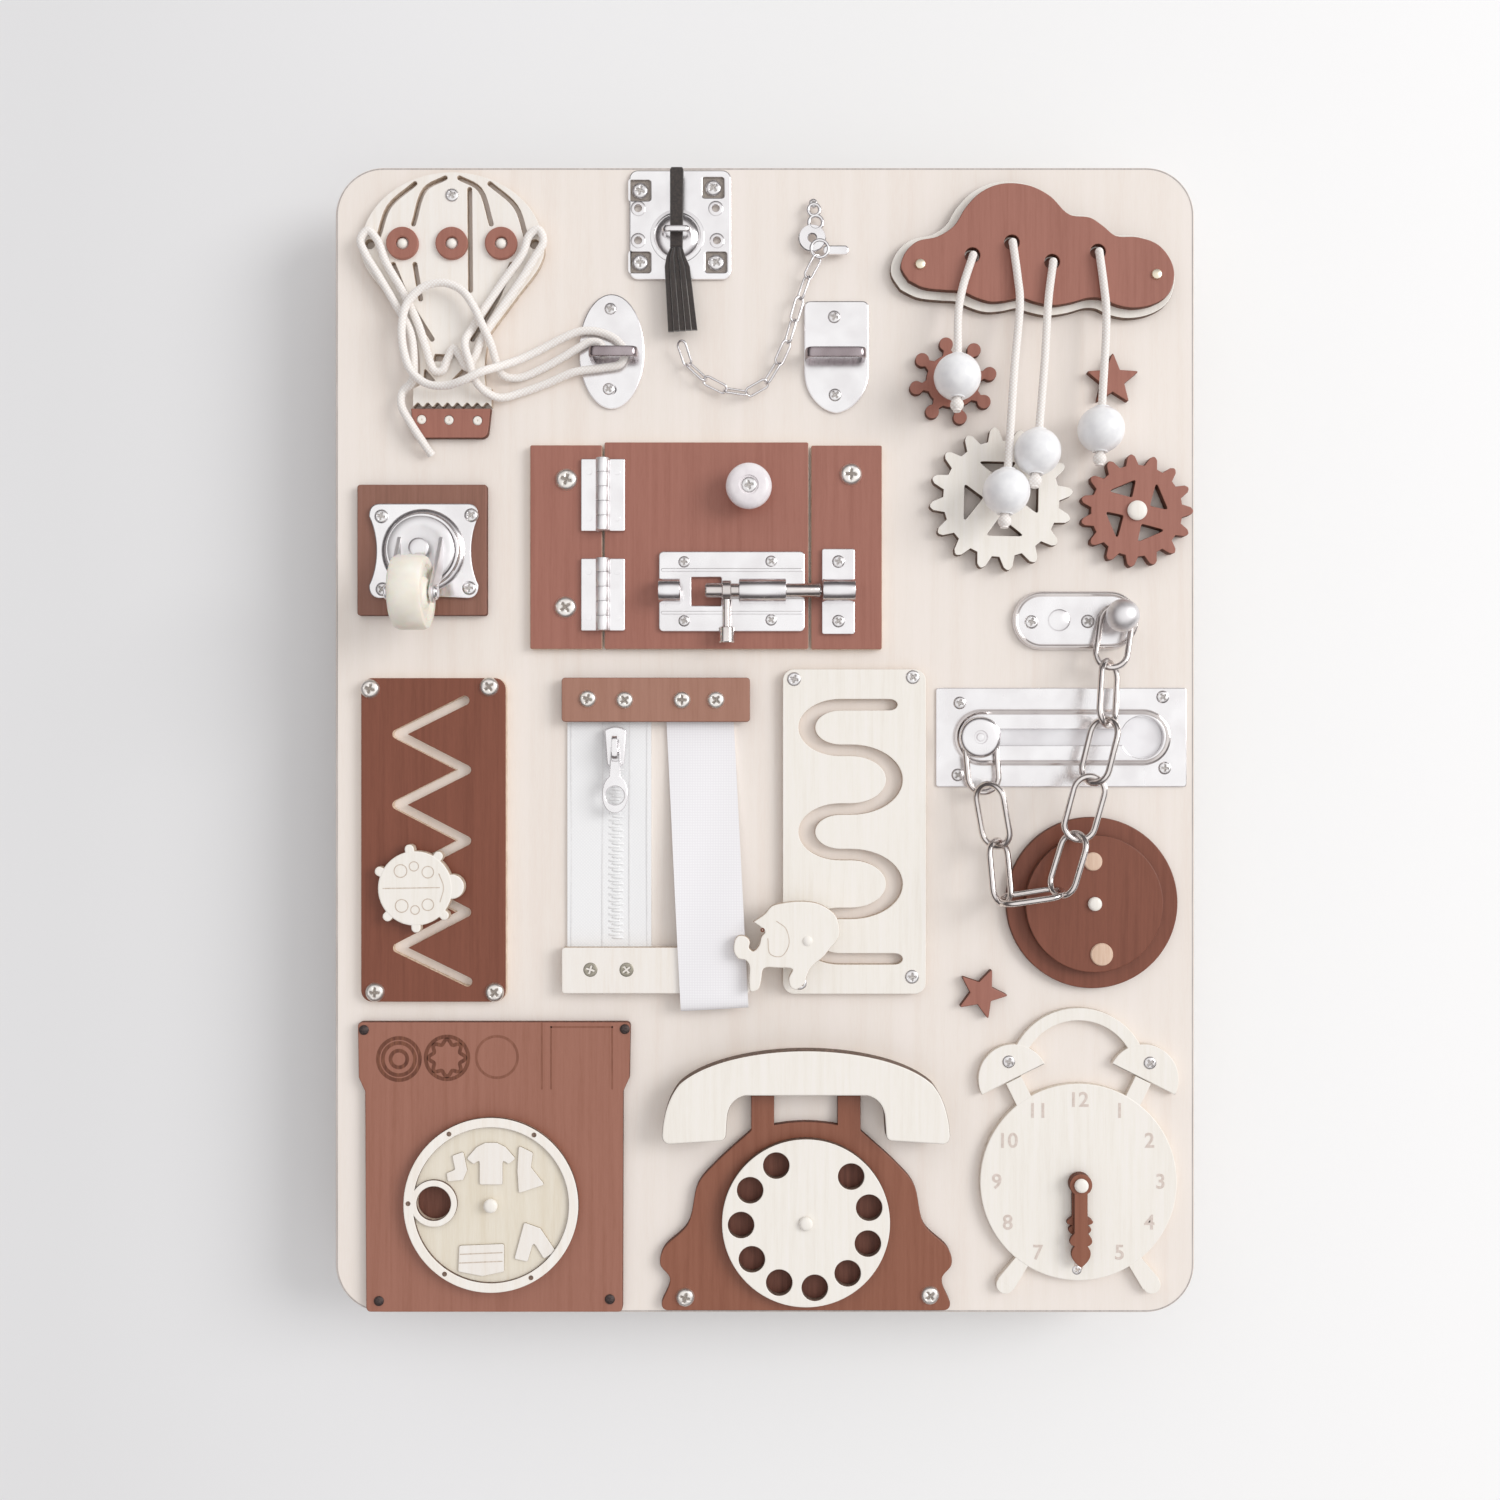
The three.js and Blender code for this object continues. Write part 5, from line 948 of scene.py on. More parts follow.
# Swivel caster: plate, race, fork of two cheeks, axle and a moulded wheel
def caster():
    x, y = -118.1, 65.4
    plate("caster_square", [boxed(-119, 65.9, 45, 45.4, 1)], 0, PLY, [grey_stain, burnt_stain],
          node="caster_backing")
    w, h = 19, 16.4
    right = (bow((w - 4, -h), (w, -h), (w, -h + 4.5))
             + bend((w, -h + 4.5), (w - 3.4, -5), (w - 3.4, 5), (w, h - 4.5))
             + bow((w, h - 4.5), (w, h), (w - 4, h)))
    edge = bow((-w + 4, -h), (0, -h + 1), (w - 4, -h)) + right + mirrored(right)
    plate("caster_mounting_plate", [edge], PLY, 4.5, steel, node="caster_plate", ease=0.4, at=(x, y))
    turned("caster_race", [(14.4, 4.2), (14.4, 5.2), (14.1, 5.6), (13.1, 6), (12.8, 7), (12.4, 7.3),
                           (11.6, 7.3), (11.2, 7.1), (9.8, 7.9), (2, 8), (2, 11.4), (3.4, 11.4),
                           (3.4, 12.4), (2.6, 12.8), (0.02, 12.8)], steel, at=(x, y), turns=64)
    screws("caster_screw", [(-132.7, 77.3), (-101.6, 77.7), (-102.3, 52.5), (-132.3, 52.1)], 4.4, 2.5,
           1.0)
    turned("caster_crown", [(11.4, 8.3), (11.4, 9.3), (10.9, 9.7), (8, 9.8), (7.6, 9.6), (2.4, 9.6),
                            (2.4, 8.3), (11.4, 8.3)], satin_steel, "caster", "caster_fork", (x, y), 56)
    wheel_y, wheel_z, arm, cheek = -16.3, 22.5, 6.45, 1.4
    side = ([(4, 8.3), (-6, 8.3)] + bow((-6, 8.3), (-11, 10.3), (-12.8, 15.3))
            + [(wheel_y - 3.4, wheel_z - 1)] + arc(wheel_y, wheel_z, 3.6, 189, 63, 14)
            + bow((wheel_y + 1.6, wheel_z + 3.2), (-6, 17.3), (4, 9.8)))
    for number, low in enumerate((arm, -arm - cheek), 1):
        plate(f"caster_cheek_{number}", [side], low, low + cheek, satin_steel, "caster",
              matrix=stand(x, y, UPRIGHT))
    centre = (x, y + wheel_y, wheel_z)
    axle = both_sides([(0.02, -8.9), (2.2, -8.9), (2.6, -8.4), (2.6, -7.9), (1.5, -7.9)])
    turned("caster_axle", axle, steel, "caster", at=centre, turns=24, matrix=LAY_X)
    tyre = both_sides([(1.8, -5.75), (4, -5.75), (4.6, -5.25), (5.5, -4.35), (8.6, -4.35), (9.4, -5.55),
                       (10.9, -5.75), (11.9, -5.25), (12.5, -3.95)])
    turned("caster_tyre", tyre + tyre[:1], nylon, "wheel", "caster_wheel", centre, 64, LAY_X)


caster()

# Door: fixed strips, leaf, hinges, knob and bolt
for name, x, y, width in (("left", -69, 66.9, 25), ("right", 28.3, 66.8, 24.6)):
    plate(f"strip_{name}", [boxed(x, y, width, 70.8, 0.6, 3)], 0, PLY, DOOR, node=f"door_strip_{name}")
plate("door_leaf", [round_corners(-55.7, 15.1, 31.5, 103.3, 0.6, 3)], LIFT / 2, PLY, DOOR, "door",
      "door_panel")
screws("strip_screw", [(-68.9, 90.3), (-69.2, 46), (29.8, 92.1)], PLY, 3.9, 1.6, maple_cap)


# A butt hinge: three knuckles on the fixed leaf and two on the door's, each curled from its leaf
def hinge(name, y):
    x, z, half, pitch, gap, curl = -56.1, 5.6, 12.5, 5.0, 0.04, 2.35
    for side, body, part in ((-1, "board", "fixed"), (1, "door", "door")):
        edge = [(side * 7.6, -half), (side * 7.6, half), (side * 2.15, half),
                (side * 2.15, -half)][::side]
        plate(f"hinge_{body}_leaf_{name}", [rounded(edge, 0.5, 3)], PLY, BRACKET, steel, body,
              f"hinge_leaf_{part}_{name}", 0.25, (x, y))
        roll = [(side * 2.7, 3.1)] + [(side * u, v) for u, v in arc(0, z, curl, -75, 249, 27)]
        for i in range(1 if side > 0 else 0, 5, 2):
            plate(f"hinge_{body}_knuckle_{name}_{i}", [roll], gap - pitch / 2, pitch / 2 - gap,
                  satin_steel, body, ease=0.08, matrix=stand(x, y - half + (i + 0.5) * pitch, ACROSS))
        studs(f"hinge_rivet_{body}_{name}", [(x + side * 4.9, y - 8), (x + side * 4.9, y + 8)],
              [(1.2, 4.1), (1.1, 4.45), (0.02, 4.6)], steel, body, 20)
    turned(f"hinge_pin_{name}", both_sides([(0.02, -12.45), (1.1, -12.45), (1.4, -12.2)]), steel,
           at=(x, y, z), turns=20, matrix=LAY_Y)


hinge("upper", 84.8)
hinge("lower", 50.3)
turned("knob_turned", [(0.02, 3.02), (4.2, 3.02), (4.4, 4), (4.3, 4.8), (3.8, 6.1), (4.6, 6.9),
                       (6.6, 7.6), (7.6, 8.8), (7.9, 9.9), (7.75, 11.2), (6.9, 12.2), (5.6, 12.75),
                       (3.4, 12.9), (3.2, 12.4),
                       (0.02, 12.4)], knob_enamel, "door", "door_knob", (-5.6, 86.8), 56)
screw("knob_screw", -5.6, 86.8, 12.35, 2.8, 0.6, turn=0.2, body="door")

BOLT_Z = 7.2


def barrel(name, x, y, width, outer, body):
    outline = [(-outer, 3.6), (outer, 3.6)] + arc(0, BOLT_Z, outer, 0, 180, 24)
    plate(name, [outline, ring(0, BOLT_Z, 2.75, 28)], -width / 2, width / 2, steel, body,
          matrix=stand(x, y, UPRIGHT))


def bolt():
    x, y, keeper = -11.5, 51.4, 25.4
    window = round_corners(x - 14, x - 3.6, y - 4.9, y + 4.9, 0.4, 3)
    plate("bolt_plate", [boxed(x, y, 50.5, 27.7, 1.6), window], PLY, BRACKET, steel, "door",
          "bolt_housing")
    for side in (1, -1):
        plate(f"bolt_plate_fold_{side + 2}", [boxed(x, y + side * 7.4, 49, 1.2, 0.5, 3)], 4.1, 4.7, steel,
              "door", ease=0.25)
    barrel("bolt_barrel", x + 10.6, y, 16.2, 4.1, "door")
    barrel("bolt_guide", x - 21.4, y, 7.6, 4.1, "door")
    screws("bolt_screw", [(-28, 41.2), (2.1, 41.5), (-28, 61.6), (2.1, 61.8)], 4.1, 2.1, 0.8, body="door")
    turned("bolt_bar", [(0.02, -20.6), (2, -20.6), (2.45, -20.1), (2.45, 18.4), (1.9, 19.3),
                        (0.02, 19.3)], wire_steel, "bolt", "bolt_rod", (0, y, BOLT_Z), 32, LAY_X)
    turned("bolt_collar", [(2.5, -14.8), (3.2, -14.8), (3.5, -14.5), (3.5, -11.9), (3.2, -11.6),
                           (2.5, -11.6),
                           (2.5, -14.8)], wire_steel, "bolt", at=(0, y, BOLT_Z), turns=32, matrix=LAY_X)
    turned("bolt_grip", [(0.02, 0), (1.5, 0), (1.5, 12.6), (2.5, 12.6), (2.8, 12.9), (2.8, 17.7),
                         (2.5, 18),
                         (0.02, 18)], wire_steel, "bolt", at=(-13.2, y, BOLT_Z), turns=32, matrix=LAY_Y)
    plate("keeper_plate", [boxed(keeper, y, 11.4, 29.6, 0.8, 4)], PLY, BRACKET, steel, node="bolt_keeper",
          ease=0.3)
    barrel("keeper_loop", keeper, y, 11.2, 3.95, "board")
    screws("keeper_screw", [(keeper, y + 10.3), (keeper, y - 10.3)], 4.1, 2.3, 0.8)


bolt()

# Zigzag panel with its ladybird
ZIGZAG_TURNS = [(-104.2, 13.7), (-127.6, 2), (-103.6, -10.4), (-127.6, -22.5), (-103.6, -35),
                (-127.6, -47.4), (-103.6, -59.8), (-127.4, -72.2), (-103.2, -83.9)]
plate("zigzag_plate", [boxed(-115, -34.7, 50.3, 112.4, 4), slot_outline(ZIGZAG_TURNS, 1.6)], 0, PLY,
      [deep_stain, pale_cut], node="zigzag_panel", ease=0.25)
screws("zigzag_screw", [(-137, 17.7), (-95.7, 18.4), (-135.3, -87.5), (-93.8, -87.5)], PLY, 3.4, 1.5,
       maple_cap)


def ladybird():
    x, y, low, high, radius = -120.4, -51.12, 3.3, 7.3, 12.9
    plate("ladybird_body", [ring(x, y, radius, 64)], low, high, PALE, "bug", "ladybug", 0.5)
    for number, angle in enumerate((1.72, 2.7, 0.95, -2.35, -1.55, -0.75), 1):
        plate(f"ladybird_foot_{number}", [boxed(radius, 0, 4.8, 3.4, 1.6)], low + 0.05, high - 0.1, PALE,
              "bug", ease=0.5, at=(x, y, angle))
    plate("ladybird_head", [ring(x + radius - 0.3, y + 0.6, 4.3, 36)], low + 0.05, high - 0.08, PALE,
          "bug", ease=0.5)
    spots = [ring(x + a, y + b, r, 24) for a, b, r in (
        (-5, 6, 2.2), (4.4, 5.6, 2), (-0.4, 7.6, 1.6), (-4.6, -6, 2.2), (4.4, -5.6, 2), (0, -7.4, 1.5))]
    scribe("ladybird_spots", spots, 0.35, high + LINE, engraved_pale, "bug", loop=True)
    neck = flowing_flat([(x + 8.2, y + 5), (x + 9.8, y + 0.4), (x + 8.6, y - 4.6)])
    scribe("ladybird_seam", [[(x - 11, y), (x + 8.4, y + 0.3)], neck], 0.35, high + LINE, engraved_pale,
           "bug")


ladybird()

# Zip: two bars over the tape and the strap, moulded teeth, slider and pull
BAR_LOW, BAR_HIGH = 1.5, 4.5
plate("zip_bar_upper", [boxed(-37.8, 13.9, 65.2, 15.3, 1.2, 4)], BAR_LOW, BAR_HIGH,
      [light_stain, burnt_stain], node="zip_top_bar")
plate("zip_bar_lower", [boxed(-37.8, -79.8, 65.2, 16, 1.2, 4)], BAR_LOW, BAR_HIGH, WOOD,
      node="zip_bottom_bar")
screws("zip_bar_screw", [(-61.4, 14.2), (-48.6, 13.8), (-28.8, 13.8), (-17, 13.8)], BAR_HIGH, 3.1, 1.3,
       maple_cap)
screws("zip_foot_screw", [(-60.4, -79.5), (-47.9, -79.5)], 4.1, 2.9, 0.7, tarnished)


# A woven band along spots of y and z, with waves as a function of place across and along
def ribbon(name, spots, width, thick, look, node, waves, matrix, cells=24):
    points, faces = [], []
    count = len(spots)
    for i, (y, z) in enumerate(spots):
        for k in range(cells + 1):
            u = -1 + 2 * k / cells
            lift = waves(u, i / (count - 1))
            points += [(u * width / 2, y, z + thick / 2 + lift), (u * width / 2, y, z - thick / 2 + lift)]
    across = 2 * (cells + 1)
    for i in range(count - 1):
        for k in range(cells):
            a = i * across + 2 * k
            b = a + across
            faces += [(a, a + 2, b + 2, b), (a + 1, b + 1, b + 3, a + 3)]
        for k in (0, cells):
            a = i * across + 2 * k
            faces.append((a, a + 1, a + 1 + across, a + across))
    for i in (0, count - 1):
        for k in range(cells):
            a = i * across + 2 * k
            faces.append((a, a + 1, a + 3, a + 2))
    return finish_piece(name, mesh_from(name, points, faces, FACE @ matrix), look, "board", node,
                        crease=60)


SLIDER = (-51.8, 3.4)


def zip_tape():
    x, top, width, length, pitch = -54.2, 20.5, 29.2, 106, 1.17
    wave = lambda u, t: 0.16 * math.sin(6 * t + 2 * u) * min(1, 3 * t * (1 - t))
    tape = ribbon("zip_cloth", [(top - length * i / 60, 0.6) for i in range(61)], width, 0.7, tape_cotton,
                  "zip_tape", wave, Matrix.Translation((x, 0, 0)))
    lines = []
    for i in range(62):
        y, side = top - 18 - i * pitch, 1 if i % 2 else -1
        tooth = [(2.3, 0, 0.85), (2.1, 0, 0.95), (0.6, 0, 1.05), (-0.9, 0.1, 1.05), (-1.1, 0.1, 0.9)]
        lines.append([(SLIDER[0] + side * a, y + b, z) for a, b, z in tooth])
    coil = bar("zip_teeth", lines, 0.4, zip_nylon, sides=6)
    seams = [scribe(f"zip_stitch_{n}", [[(x + dx, top - 2), (x + dx, top - 104)]], 0.4, 1.1, thread_line)
             for n, dx in enumerate((-2.3, 7.1, -13.2, 13.2), 1)]


zip_tape()
slider_edge = ([(-3.9, 0), (-3, -12)] + bow((-3, -12), (0, -14), (3, -12)) + [(3.9, 0)]
               + bow((3.9, 0), (0, 2.4), (-3.9, 0)))
plate("slider_body", [rounded(slider_edge, 0.5, 2)], 2.7, 4.5, steel, "zip", "zip_slider", 0.5, SLIDER)
bridge = rounded([(-4, 0), (-4, 4.3), (4, 4.3), (4, 0), (2.6, 0), (2.6, 2.8), (-2.6, 2.8), (-2.6, 0)],
                 [0.3, 2, 2, 0.3, 0.3, 1, 1, 0.3])
plate("slider_bridge", [bridge], -1, 1, steel, "zip", ease=0.3,
      matrix=stand(SLIDER[0], SLIDER[1] - 6, UPRIGHT, 4))
pull_edge = ([(-1.6, 2), (-2, -8)] + bend((-2, -8), (-5.6, -10.5), (-5.6, -20.5), (0, -20.8))
             + bend((0, -20.8), (5.6, -20.5), (5.6, -10.5), (2, -8)) + [(1.6, 2)])
plate("pull_tab", [pull_edge, ring(0, -14.6, 3.2, 36), boxed(0, -1.2, 2.6, 3, 0.5, 3)], 5.1, 6.1, steel,
      "pull", "zip_pull", 0.3, (-51.8, -4.6))


# Soft webbing strap: down over the lower bar, with its end folded back to the board
def strap():
    width = 23.4
    run = [(-16 * i / 4, 0.6) for i in range(5)]
    run += bend((-16, 0.6), (-50, 1.2), (-70, 5.2), (-88, 5.4), 24)[1:]
    run += [(-88 - 21 * i / 8, 5.4) for i in range(1, 9)] + [(-110.5, 5.0), (-111.8, 4.2)]
    wave = lambda u, t: 0.22 * math.cos(2.2 * u + 7 * t) * min(1, 5 * t)
    place = Matrix.Translation((-23.2, 18.5, 0)) @ Matrix.Rotation(0.052, 4, "Z")
    webbing = ribbon("strap_webbing", run, width, 1.0, band_cotton, "strap", wave, place)


strap()

# Winding track with its elephant. The slot is stretched sideways, so it's wider in its bends.
TRACK_STRETCH = 1.48


def track_line():
    y = 12.2
    route = [(43.1 / TRACK_STRETCH, y)]
    for turn in range(5):
        left = turn % 2 == 0
        r, x = (7.9, 26.2) if left else (10.2, 29.8)
        route += arc(x / TRACK_STRETCH, y - r, r, 90, 270 if left else -90, 24)
        y -= 2 * r
    return route + [(44.9 / TRACK_STRETCH, y)]


track_slot = [(x * TRACK_STRETCH, y) for x, y in slot_outline(track_line(), 1.9)]
plate("track_plate", [boxed(31, -31.8, 49.8, 112.8, 4), track_slot], 0, PLY, PALE, node="curve_panel",
      ease=0.3)
screws("track_screw", [(10.1, 21.1), (51.3, 21.8), (51, -82.2), (12.1, -84.3)], PLY - 0.2, 2.6, 0.8)
ELEPHANT_EDGE = [
    (-18.6, 5.7), (-16.9, 4.6), (-14.6, 2.3), (-15.8, 0.6), (-16.6, -2.3), (-18.6, -4.3), (-20, -3.1),
    (-19.7, -1.1), (-20.9, 0.6), (-23.5, 1), (-24.9, -0.6), (-25.2, -4.5), (-23.7, -6.8), (-21.2, -7.4),
    (-20, -9.1), (-20, -14.8), (-19.5, -18.1), (-16.9, -17.4), (-15.8, -14.2), (-14.9, -10.2),
    (-10.1, -10), (-5.2, -10.5), (-6.4, -13.4), (-5.8, -16.6), (-3.8, -17.4), (-1.2, -15.4),
    (-0.1, -12.5), (1.3, -9.7), (5.3, -6.3), (7.6, -3.4), (10.7, 0.6), (11, 3.7), (9.6, 8), (6.7, 10.5),
    (3, 12.2), (-2.7, 12.8), (-8.4, 12.2), (-12.3, 11.1), (-14.6, 8.5),
]


def elephant():
    x, y, low, high = 14.5, -68.1, 6.75, 9.75
    edge = flowing_flat(ELEPHANT_EDGE + ELEPHANT_EDGE[:1], 4)[:-1]
    plate("elephant_plate", [edge], low, high, PALE, "animal", "elephant", 0.4, (x, y))
    turned("elephant_foot", [(4.2, 3.3), (4.2, 6.9), (0.02, 6.9)], maple, "animal", at=(x, y), turns=36)
    turned("elephant_pin", [(1.7, 9.6), (1.7, 9.9), (1.2, 10.3), (0.02, 10.35)], maple, "animal",
           at=(x, y - 0.8), turns=24)
    ear = flowing_flat([(-10.6, 6), (-7.4, 3.4), (-6.4, -2), (-9, -6), (-12.8, -5.2), (-13.6, 0)])
    scribe("elephant_ear", [shifted(ear, x, y)], 0.3, high + LINE, engraved_pale, "animal")
    scribe("elephant_eye", [ring(x - 15.4, y + 3, 0.5, 12)], 0.5, high + LINE, engraved, "animal", True)


elephant()

# Door chain: anchor with its ball, track with its slider, and the long links between
ANCHOR = (108.2, 41.6)
plate("anchor_plate", [boxed(*ANCHOR, 44, 20.4, 10.15, 20)], 0, 1.5, steel, node="chain_anchor", ease=0.7)
plate("anchor_ridge", [boxed(*ANCHOR, 43.4, 19.8, 9.85, 20), boxed(*ANCHOR, 40.2, 16.6, 8.2, 20)], 0.6,
      2.4, wire_steel, ease=0.7)
plate("anchor_step", [boxed(*ANCHOR, 40.6, 17, 8.4, 20)], 1.3, 2.0, steel, ease=0.3)
turned("anchor_dimple", [(3.9, 1.9), (3.8, 2.6), (3.2, 2.9), (0.02, 3.0)], steel,
       at=(ANCHOR[0] - 6, ANCHOR[1]), turns=40)
turned("anchor_ball", [(3.4, 1.8), (3.2, 2.6), (1.7, 3.1), (1.6, 6.2), (3.2, 6.9), (4.6, 8.1), (5.4, 9.6),
                       (5.7, 11), (5.5, 12.6), (4.8, 14.2), (3.6, 15.4), (1.9, 16.1),
                       (0.02, 16.3)], satin_steel,
       at=(ANCHOR[0] + 13.8, ANCHOR[1] + 0.8))
screws("anchor_screw", [(92.6, 41), (112.2, 41.2)], 1.8, 2.5, 0.9)

TRACK = (103.3, 0.9)
plate("chain_track_plate", [boxed(*TRACK, 87.4, 34.5, 1, 4)], 0, 0.8, steel, node="chain_track", ease=0.3)


# The raised rail round the slider's groove, which ends in a round opening on the right
def track_rail():
    (cx, cy), half = TRACK, 2.8
    left, right = cx - 29.2, cx + 20.7
    key = [(right, cy - half), (left, cy - half)] + arc(left, cy, half, 270, 90, 16)[1:-1]
    key += [(left, cy + half), (right, cy + half)] + arc(cx + 27.6, cy, 7.4, 158, -158, 40)

    def stadium(length, width):
        return boxed(cx, cy, length, width, width / 2 - 0.02, 20)

    plate("chain_track_rim", [stadium(75.4, 19.6), stadium(71.6, 15.8)], 0.6, 3.4, wire_steel, ease=0.9)
    plate("chain_track_rail", [stadium(72, 16.2), key], 0.6, 3.0, steel, ease=0.25)
    # The floor inside the rail is darker steel: painted shade in the groove
    plate("chain_track_floor", [stadium(70, 14)], 0.7, 0.95, rail_floor, ease=0.05)


track_rail()
screws("chain_track_screw", [(67.9, 12.9), (138.6, 15), (139.3, -9.8), (67.2, -12.2)], 0.7, 2.3, 0.8)
SLIDE = (74.1, 0.9)
turned("slider_button", [(2.3, 1.2), (2.3, 6.2), (6.6, 6.25), (7.1, 6.7), (7.05, 7.3), (6.5, 7.9),
                         (5.6, 8.2), (2.4, 8.3), (2.1, 7.3), (1.5, 7.3), (1.2, 8.1),
                         (0.02, 8.3)], steel, "slider",
       "chain_slider", SLIDE, 56)
LINK_WIDTH, LINK_WIRE = 12.8, 2.2
chain("slider_link", [(SLIDE[0] + 1.7, SLIDE[1] - 17.9, 4.8), (SLIDE[0], SLIDE[1] + 1.6, 4.6)], [0.02],
      LINK_WIDTH, LINK_WIRE, body="slider")
DOOR_CHAIN = [(122.3, 45.2, 3.9), (118.2, 25.8, 9), (115.8, 5.9, 14.2), (110.9, -13.6, 14.6),
              (105.7, -32.9, 13.4), (99.8, -51.8, 14.3), (80.9, -54.8, 12.4), (79.6, -35.5, 9.4),
              (75.9, -16.2, 11.3)]
DOOR_TWISTS = [0.25, -0.8, 0.8, -0.05, 0.9, 1.4, 0.8, -0.7]
chain("long_chain", DOOR_CHAIN, DOOR_TWISTS, LINK_WIDTH, LINK_WIRE, "door_chain")

# Spinner
x, y = PLACES["spinner"]
plate("spinner_base_disc", [ring(x, y, 29.7, 128)], 0, PLY, DEEP, node="spinner_base")
plate("spinner_top_disc", [ring(x, y, 23.7, 112)], UPPER, UPPER + PLY, DEEP, "spinner", "spinner_disc")
for number, (dx, dy, r) in enumerate(((-0.6, 14.6, 3.2), (2.4, -17.4, 3.9)), 1):
    turned(f"spinner_stud_{number}", [(r, 6.4), (r, 6.8), (r - 0.3, 7.15), (r - 1, 7.25), (0.02, 7.25)],
           stud_wood, "spinner", at=(x + dx, y + dy), turns=40)


def without_doubles(edge):
    return [edge[i] for i in distinct(edge, 0.02)]


# Washing machine front: panel with burnt dials and drawer, and the round door
def washer():
    half = [(44.6, -48.4), (44.8, 26.2), (47, 31), (47.3, 48.6)]
    edge = ([(-42.6, -50.3), (42.9, -50.3)] + bow((42.9, -50.3), (44.6, -50.3), half[0]) + half[1:]
            + bow(half[3], (47.3, 50.3), (45.6, 50.3)) + bow((-45.6, 50.3), (-47.3, 50.3), (-47.3, 48.6))
            + [(-47, 31), (-44.8, 26.2), (-44.4, -48.4)]
            + bow((-44.4, -48.4), (-44.4, -50.3), (-42.6, -50.3)))
    plate("washer_front", [without_doubles(edge)], 0, PLY, [warm_stain, burnt_stain], node="washer_panel",
          at=(-94, -148.2))
    burnt = PLY + LINE
    wavy = [polar(5.6 + 0.8 * math.cos(8 * a), a, -110.3, -110.3)
            for a in (TAU * i / 96 for i in range(96))]
    loops = [ring(-127, -110.7, r, 48) for r in (7.3, 5.6, 2.9)] + [ring(-110.3, -110.3, 7.4, 48), wavy]
    scribe("washer_controls", loops, 1.3, burnt, loop=True)
    scribe("washer_third_dial", [ring(-93, -110, 7.2, 48)], 0.9, burnt, faint_line, loop=True)
    drawer = [[(-77.4, -98.4), (-77.4, -121)], [(-74.2, -99.6), (-53, -99.6)],
              [(-74.2, -99.6), (-74.2, -121)], [(-53, -99.6), (-53, -121)]]
    scribe("washer_drawer", drawer, 0.6, burnt, faint_line)
    x, y = PLACES["washer"]
    reach_x, reach_y, bore = -19.7, 0.6, 5.9
    # A dark ring under the door's finger hole, seen through it as the disc turns: painted shade in the
    # hole
    scribe("washer_finger_shade", [ring(x, y, -reach_x, 96)], 12.6, burnt, painted_hole_shade, loop=True)
    studs("washer_nail", [(-139.1, -100.6), (-48.6, -100.3), (-133.9, -194.6), (-53.8, -194)],
          [(1.7, 2.9), (1.7, 3.3), (1.2, 3.7), (0.02, 3.8)], iron_nail)
    fx, fy = x + reach_x, y + reach_y
    plate("washer_door_web", [ring(x, y, 29.8, 112), ring(fx, fy, bore, 48), ring(x, y, BORE, 24)], UPPER,
          UPPER + 1.8, [cream_relief, burnt_birch], "washer", "washer_disc", 0.2)
    # The raised rim runs into the collar of the finger hole, so that both are one piece
    rim, collar, reach = 26.8, 8.1, math.hypot(reach_x, reach_y)
    toward = math.degrees(math.atan2(reach_y, reach_x))
    gap = math.degrees(math.acos((reach ** 2 + rim ** 2 - collar ** 2) / (2 * reach * rim)))
    swing = math.degrees(math.acos((reach ** 2 + collar ** 2 - rim ** 2) / (2 * reach * collar)))
    well = arc(x, y, rim, toward + gap, toward + 360 - gap, 120)
    well += arc(fx, fy, collar, toward + 180 + swing, toward + 180 - swing, 48)[1:-1]
    plate("washer_door_rim", [ring(x, y, 30.2, 128), well, ring(fx, fy, bore, 48)], 5, 6.5,
          [rim_paint, scorched], "washer", ease=0.3)
    studs("washer_door_pin", [polar(28.5, a, x, y) for a in (1.02, 2.1, 3.12, 4.12, 5.22)],
          [(0.9, 6.4), (0.8, 6.6), (0.02, 6.65)], scorched, "washer", 16)
    # Small garments in low relief, drawn here as plain shapes
    shirt = [(-5, 20), (-2, 21.5), (2, 21.5), (5, 20), (8.5, 16), (6, 14), (4, 15.6), (4, 7), (-4, 7),
             (-4, 15.6), (-6, 14), (-8.5, 16)]
    sock = [(-13.5, 17), (-9.5, 18.4), (-8.2, 12), (-9.6, 8.6), (-15, 8), (-15.4, 11), (-12.4, 12.2)]
    dress = [(9.5, 20.5), (14.5, 18), (13.8, 13), (18.5, 7), (9.5, 4), (9, 12)]
    towel = [(-11, -14), (4.5, -13.4), (4.5, -23), (-3, -24.6), (-11.4, -23)]
    trousers = [(11.4, -6), (17, -8), (22.4, -16), (18.2, -18.6), (14.6, -12.8), (12.6, -19.6),
                (8, -18.6)]
    # Their cut edges are greyed: partly the cut edge's colour, partly painted shade round the relief
    for number, shape in enumerate((shirt, sock, dress, towel, trousers), 1):
        plate(f"washer_garment_{number}", [rounded(shape, 0.7, 3)], 5.2, 6.0, [birch, relief_edge],
              "washer", ease=0.2, at=(x, y))
    folds = [shifted(fold, x, y) for fold in ([(-10.6, -17), (3.8, -16.4)], [(-10.8, -20), (3.8, -19.4)])]
    scribe("washer_folds", folds, 0.4, 6.0 + LINE, engraved_pale, "washer")


washer()


